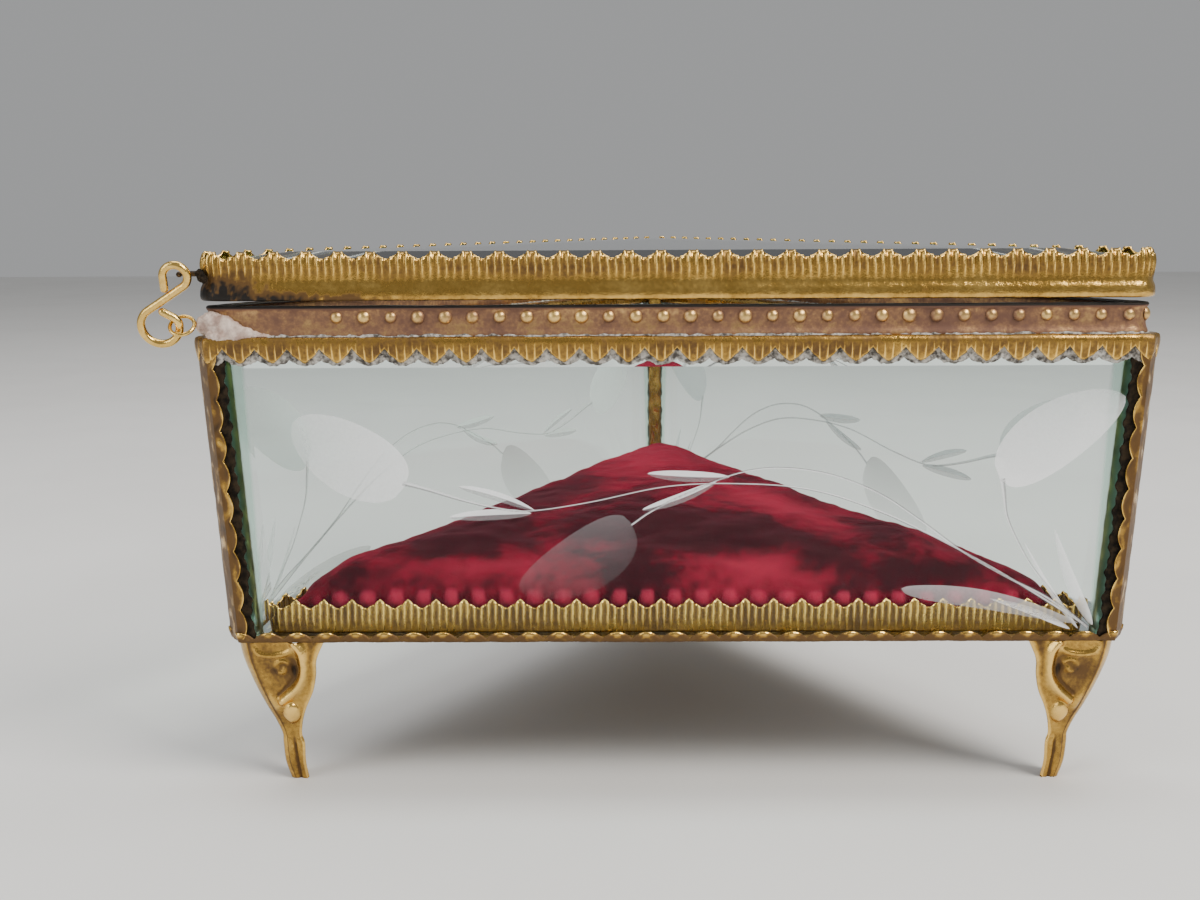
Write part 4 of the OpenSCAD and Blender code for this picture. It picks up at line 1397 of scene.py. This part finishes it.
# %% Frosted cutting
def frosted():
    made, net = material("frosted_cut")
    grain = net.noise(2200, 3, 0.6, net.place())
    # Base colour: painted shade on a cut's dark bank, painted light on its lit bank
    net.dress(Base_Color=net.mix(net.attribute("glow"), (0.09, 0.075, 0.085), (0.96, 0.97, 0.98)),
              Alpha=net.ramp(net.attribute("frost") + (grain - 0.5) * 0.1, 0.0, 1.0, 0.02, 0.88),
              Roughness=0.55, Normal=net.bump(grain, 0.2, 0.1 * MM))
    return made


frost_finish = frosted()
PROUD = 0.03 * MM


def on_panel(flat):
    """Points given across the front panel and up its height, laid on its outer face."""
    flat = np.asarray(flat, float) * MM
    face = body_r1 - 0.5 * MM - (glass_hi.z - flat[..., 1]) * math.tan(panel_lean)
    return np.stack([flat[..., 0], -face - PROUD, flat[..., 1]], axis=-1)


def petal(name, root, tip, half, lean, blunt=(0.5, 0.5), bend=0.0, light=(0.2, 1.0),
          fade=0.0, sharp=False, glow=(1.0, 1.0), rows=48, columns=17):
    """A lens-shaped cut from root to tip. light and glow fade its frost and its shade across."""
    t = np.linspace(0, 1, rows)[:, None]
    s = np.linspace(-1, 1, columns)[None]
    root, tip = np.array(root), np.array(tip)
    way = tip - root
    across = np.array([-way[1], way[0]]) / np.linalg.norm(way)
    shape = (t ** blunt[0]) * ((1 - t) ** blunt[1])
    peak = blunt[0] / (blunt[0] + blunt[1])
    shape = shape / (peak ** blunt[0] * (1 - peak) ** blunt[1])
    aside = (s + lean) * half * shape + bend * np.sin(math.pi * t)
    flat = root + way * t[..., None] + across * aside[..., None]
    share = np.where(s > 0.02, 1.0, 0.0) if sharp else s * 0.5 + 0.5
    frost = light[0] + (light[1] - light[0]) * share + fade * (t - 0.5)
    shade = glow[0] + (glow[1] - glow[0]) * share + 0 * t
    return surface(name, on_panel(flat), frost_finish,
                   attributes={"frost": np.clip(frost, 0, 1), "glow": shade})


def stem(name, points, widths, shaded=1, rows=90):
    """A hair-thin cut along a curve through the points, with its shaded bank on one side."""
    middle = through(points, rows)
    way = np.gradient(middle, axis=0)
    way /= np.linalg.norm(way, axis=1)[:, None]
    across = np.stack([-way[:, 1], way[:, 0]], 1)
    t = np.linspace(0, 1, rows)
    half = np.interp(t, np.linspace(0, 1, len(widths)), widths)[:, None, None] * 0.56
    s = np.linspace(-1, 1, 7)[None, :, None]
    flat = middle[:, None] + across[:, None] * s * half
    bank = np.clip(s[..., 0] * shaded, -1, 1) + 0 * t[:, None]
    frost = np.interp(bank, [-1, -0.6, 0.0, 0.3, 1], [0.3, 0.76, 0.72, 0.64, 0.45])
    shade = np.interp(bank, [-1, 0.0, 0.34, 1], [0.9, 0.85, 0.1, 0.0])
    return surface(name, on_panel(flat), frost_finish, attributes={"frost": frost, "glow": shade})


print("cuts are finished in", frost_finish.name, "and stand", PROUD / MM, "mm proud")

# %% [markdown]
# One spray is three stems, three buds and a few leaves and blades, which all spring from a root
# in the corner. The front one is joined into a single piece and copied to the other sides.

# %% The spray
# Where every stem meets, in millimetres across the panel and up it
ROOT = (66.5, 27.5)
# Root, tip, half width, roundness of both ends and bend of each small leaf
LEAVES = [((-22.6, 47.1), (-34.6, 51.0), 0.75, (0.7, 0.6), -0.35),
          ((-23.1, 46.6), (-36.2, 46.0), 0.9, (0.6, 0.6), -0.1),
          ((8.4, 52.4), (-4.6, 53.0), 0.9, (0.6, 0.6), 0.15),
          ((6.3, 51.6), (-5.4, 47.1), 0.8, (0.6, 0.6), 0.4)]


def floral_spray():
    cuts = [
        stem("stem.1", [
            (-43.5, 51.6), (-39.8, 50.6), (-33.7, 48.7), (-27.7, 47.3), (-22.8, 47.0), (-13.6, 48.4),
            (-1.4, 50.9), (10.5, 51.3), (22, 50.2), (33, 46.5), (43, 41.6), (52, 36.6), (58.8, 32.4), ROOT],
            (0.7, 0.4, 0.25, 0.25, 0.3, 0.4, 0.5), -1),
        stem("stem.2", [
            (-7.2, 44.7), (-3.5, 47.2), (3.5, 50.6), (9.5, 53.0), (16, 53.9), (24, 52.9), (32, 49.8),
            (39, 45.2), (45.5, 40.4), (53, 36.0), (59.9, 32.4), ROOT],
            (0.4, 0.32, 0.28, 0.28, 0.34, 0.45, 0.5)),
        stem("stem.3", [
            (51.6, 52.0), (52.0, 49.5), (52.6, 46.0), (54.2, 42.4), (56.8, 37.9), (59.9, 34.0),
            (62.4, 31.0), ROOT], (0.8, 0.5, 0.3, 0.25, 0.35, 0.5)),
        petal("bud.left", (-43.2, 51.0), (-60.6, 61.4), 5.7, 0.0, (0.42, 0.55), 0.5, (0.55, 0.42), -0.34),
        petal("bud.low", (-7.1, 44.9), (-25.2, 34.0), 5.0, 0.15, (0.4, 0.6), 0.8, (0.4, 0.22), -0.22,
              glow=(0.2, 0.12)),
        petal("bud.right", (51.2, 52.0), (70.2, 65.2), 5.2, 0.1, (0.42, 0.6), 0.6, (0.7, 0.48), -0.4),
        *[petal(f"leaf.{k}", root, tip, half, 0.0, blunt, bend, (0.95, 0.5), sharp=True, glow=(1.0, 0.3))
          for k, (root, tip, half, blunt, bend) in enumerate(LEAVES)],
        petal("blade.low", (64.8, 28.2), (36.2, 34.0), 1.6, 0.3, (0.75, 0.5), -1.3, (0.52, 0.44),
              glow=(0.7, 0.5)),
        petal("blade.mid", (67.2, 27.8), (60.3, 43.8), 0.95, 0.0, (0.6, 0.9), 0.6, (0.7, 0.35)),
        petal("blade.thin", (64.9, 27.2), (55.6, 41.6), 0.45, 0.0, (0.6, 0.9), 0.5, (0.8, 0.4)),
        petal("blade.end", (63.6, 27.2), (50.5, 32.3), 0.6, 0.0, (0.6, 0.8), -0.5, (0.5, 0.9)),
    ]
    bpy.ops.object.select_all(action="DESELECT")
    for cut in cuts:
        cut.select_set(True)
    bpy.context.view_layer.objects.active = cuts[0]
    bpy.ops.object.join()
    return bpy.context.view_layer.objects.active


sprays = on_each_side(floral_spray(), "{}_glass.spray", "clear_glass")
print("sprays:", [s.name for s in sprays])

# %% [markdown]
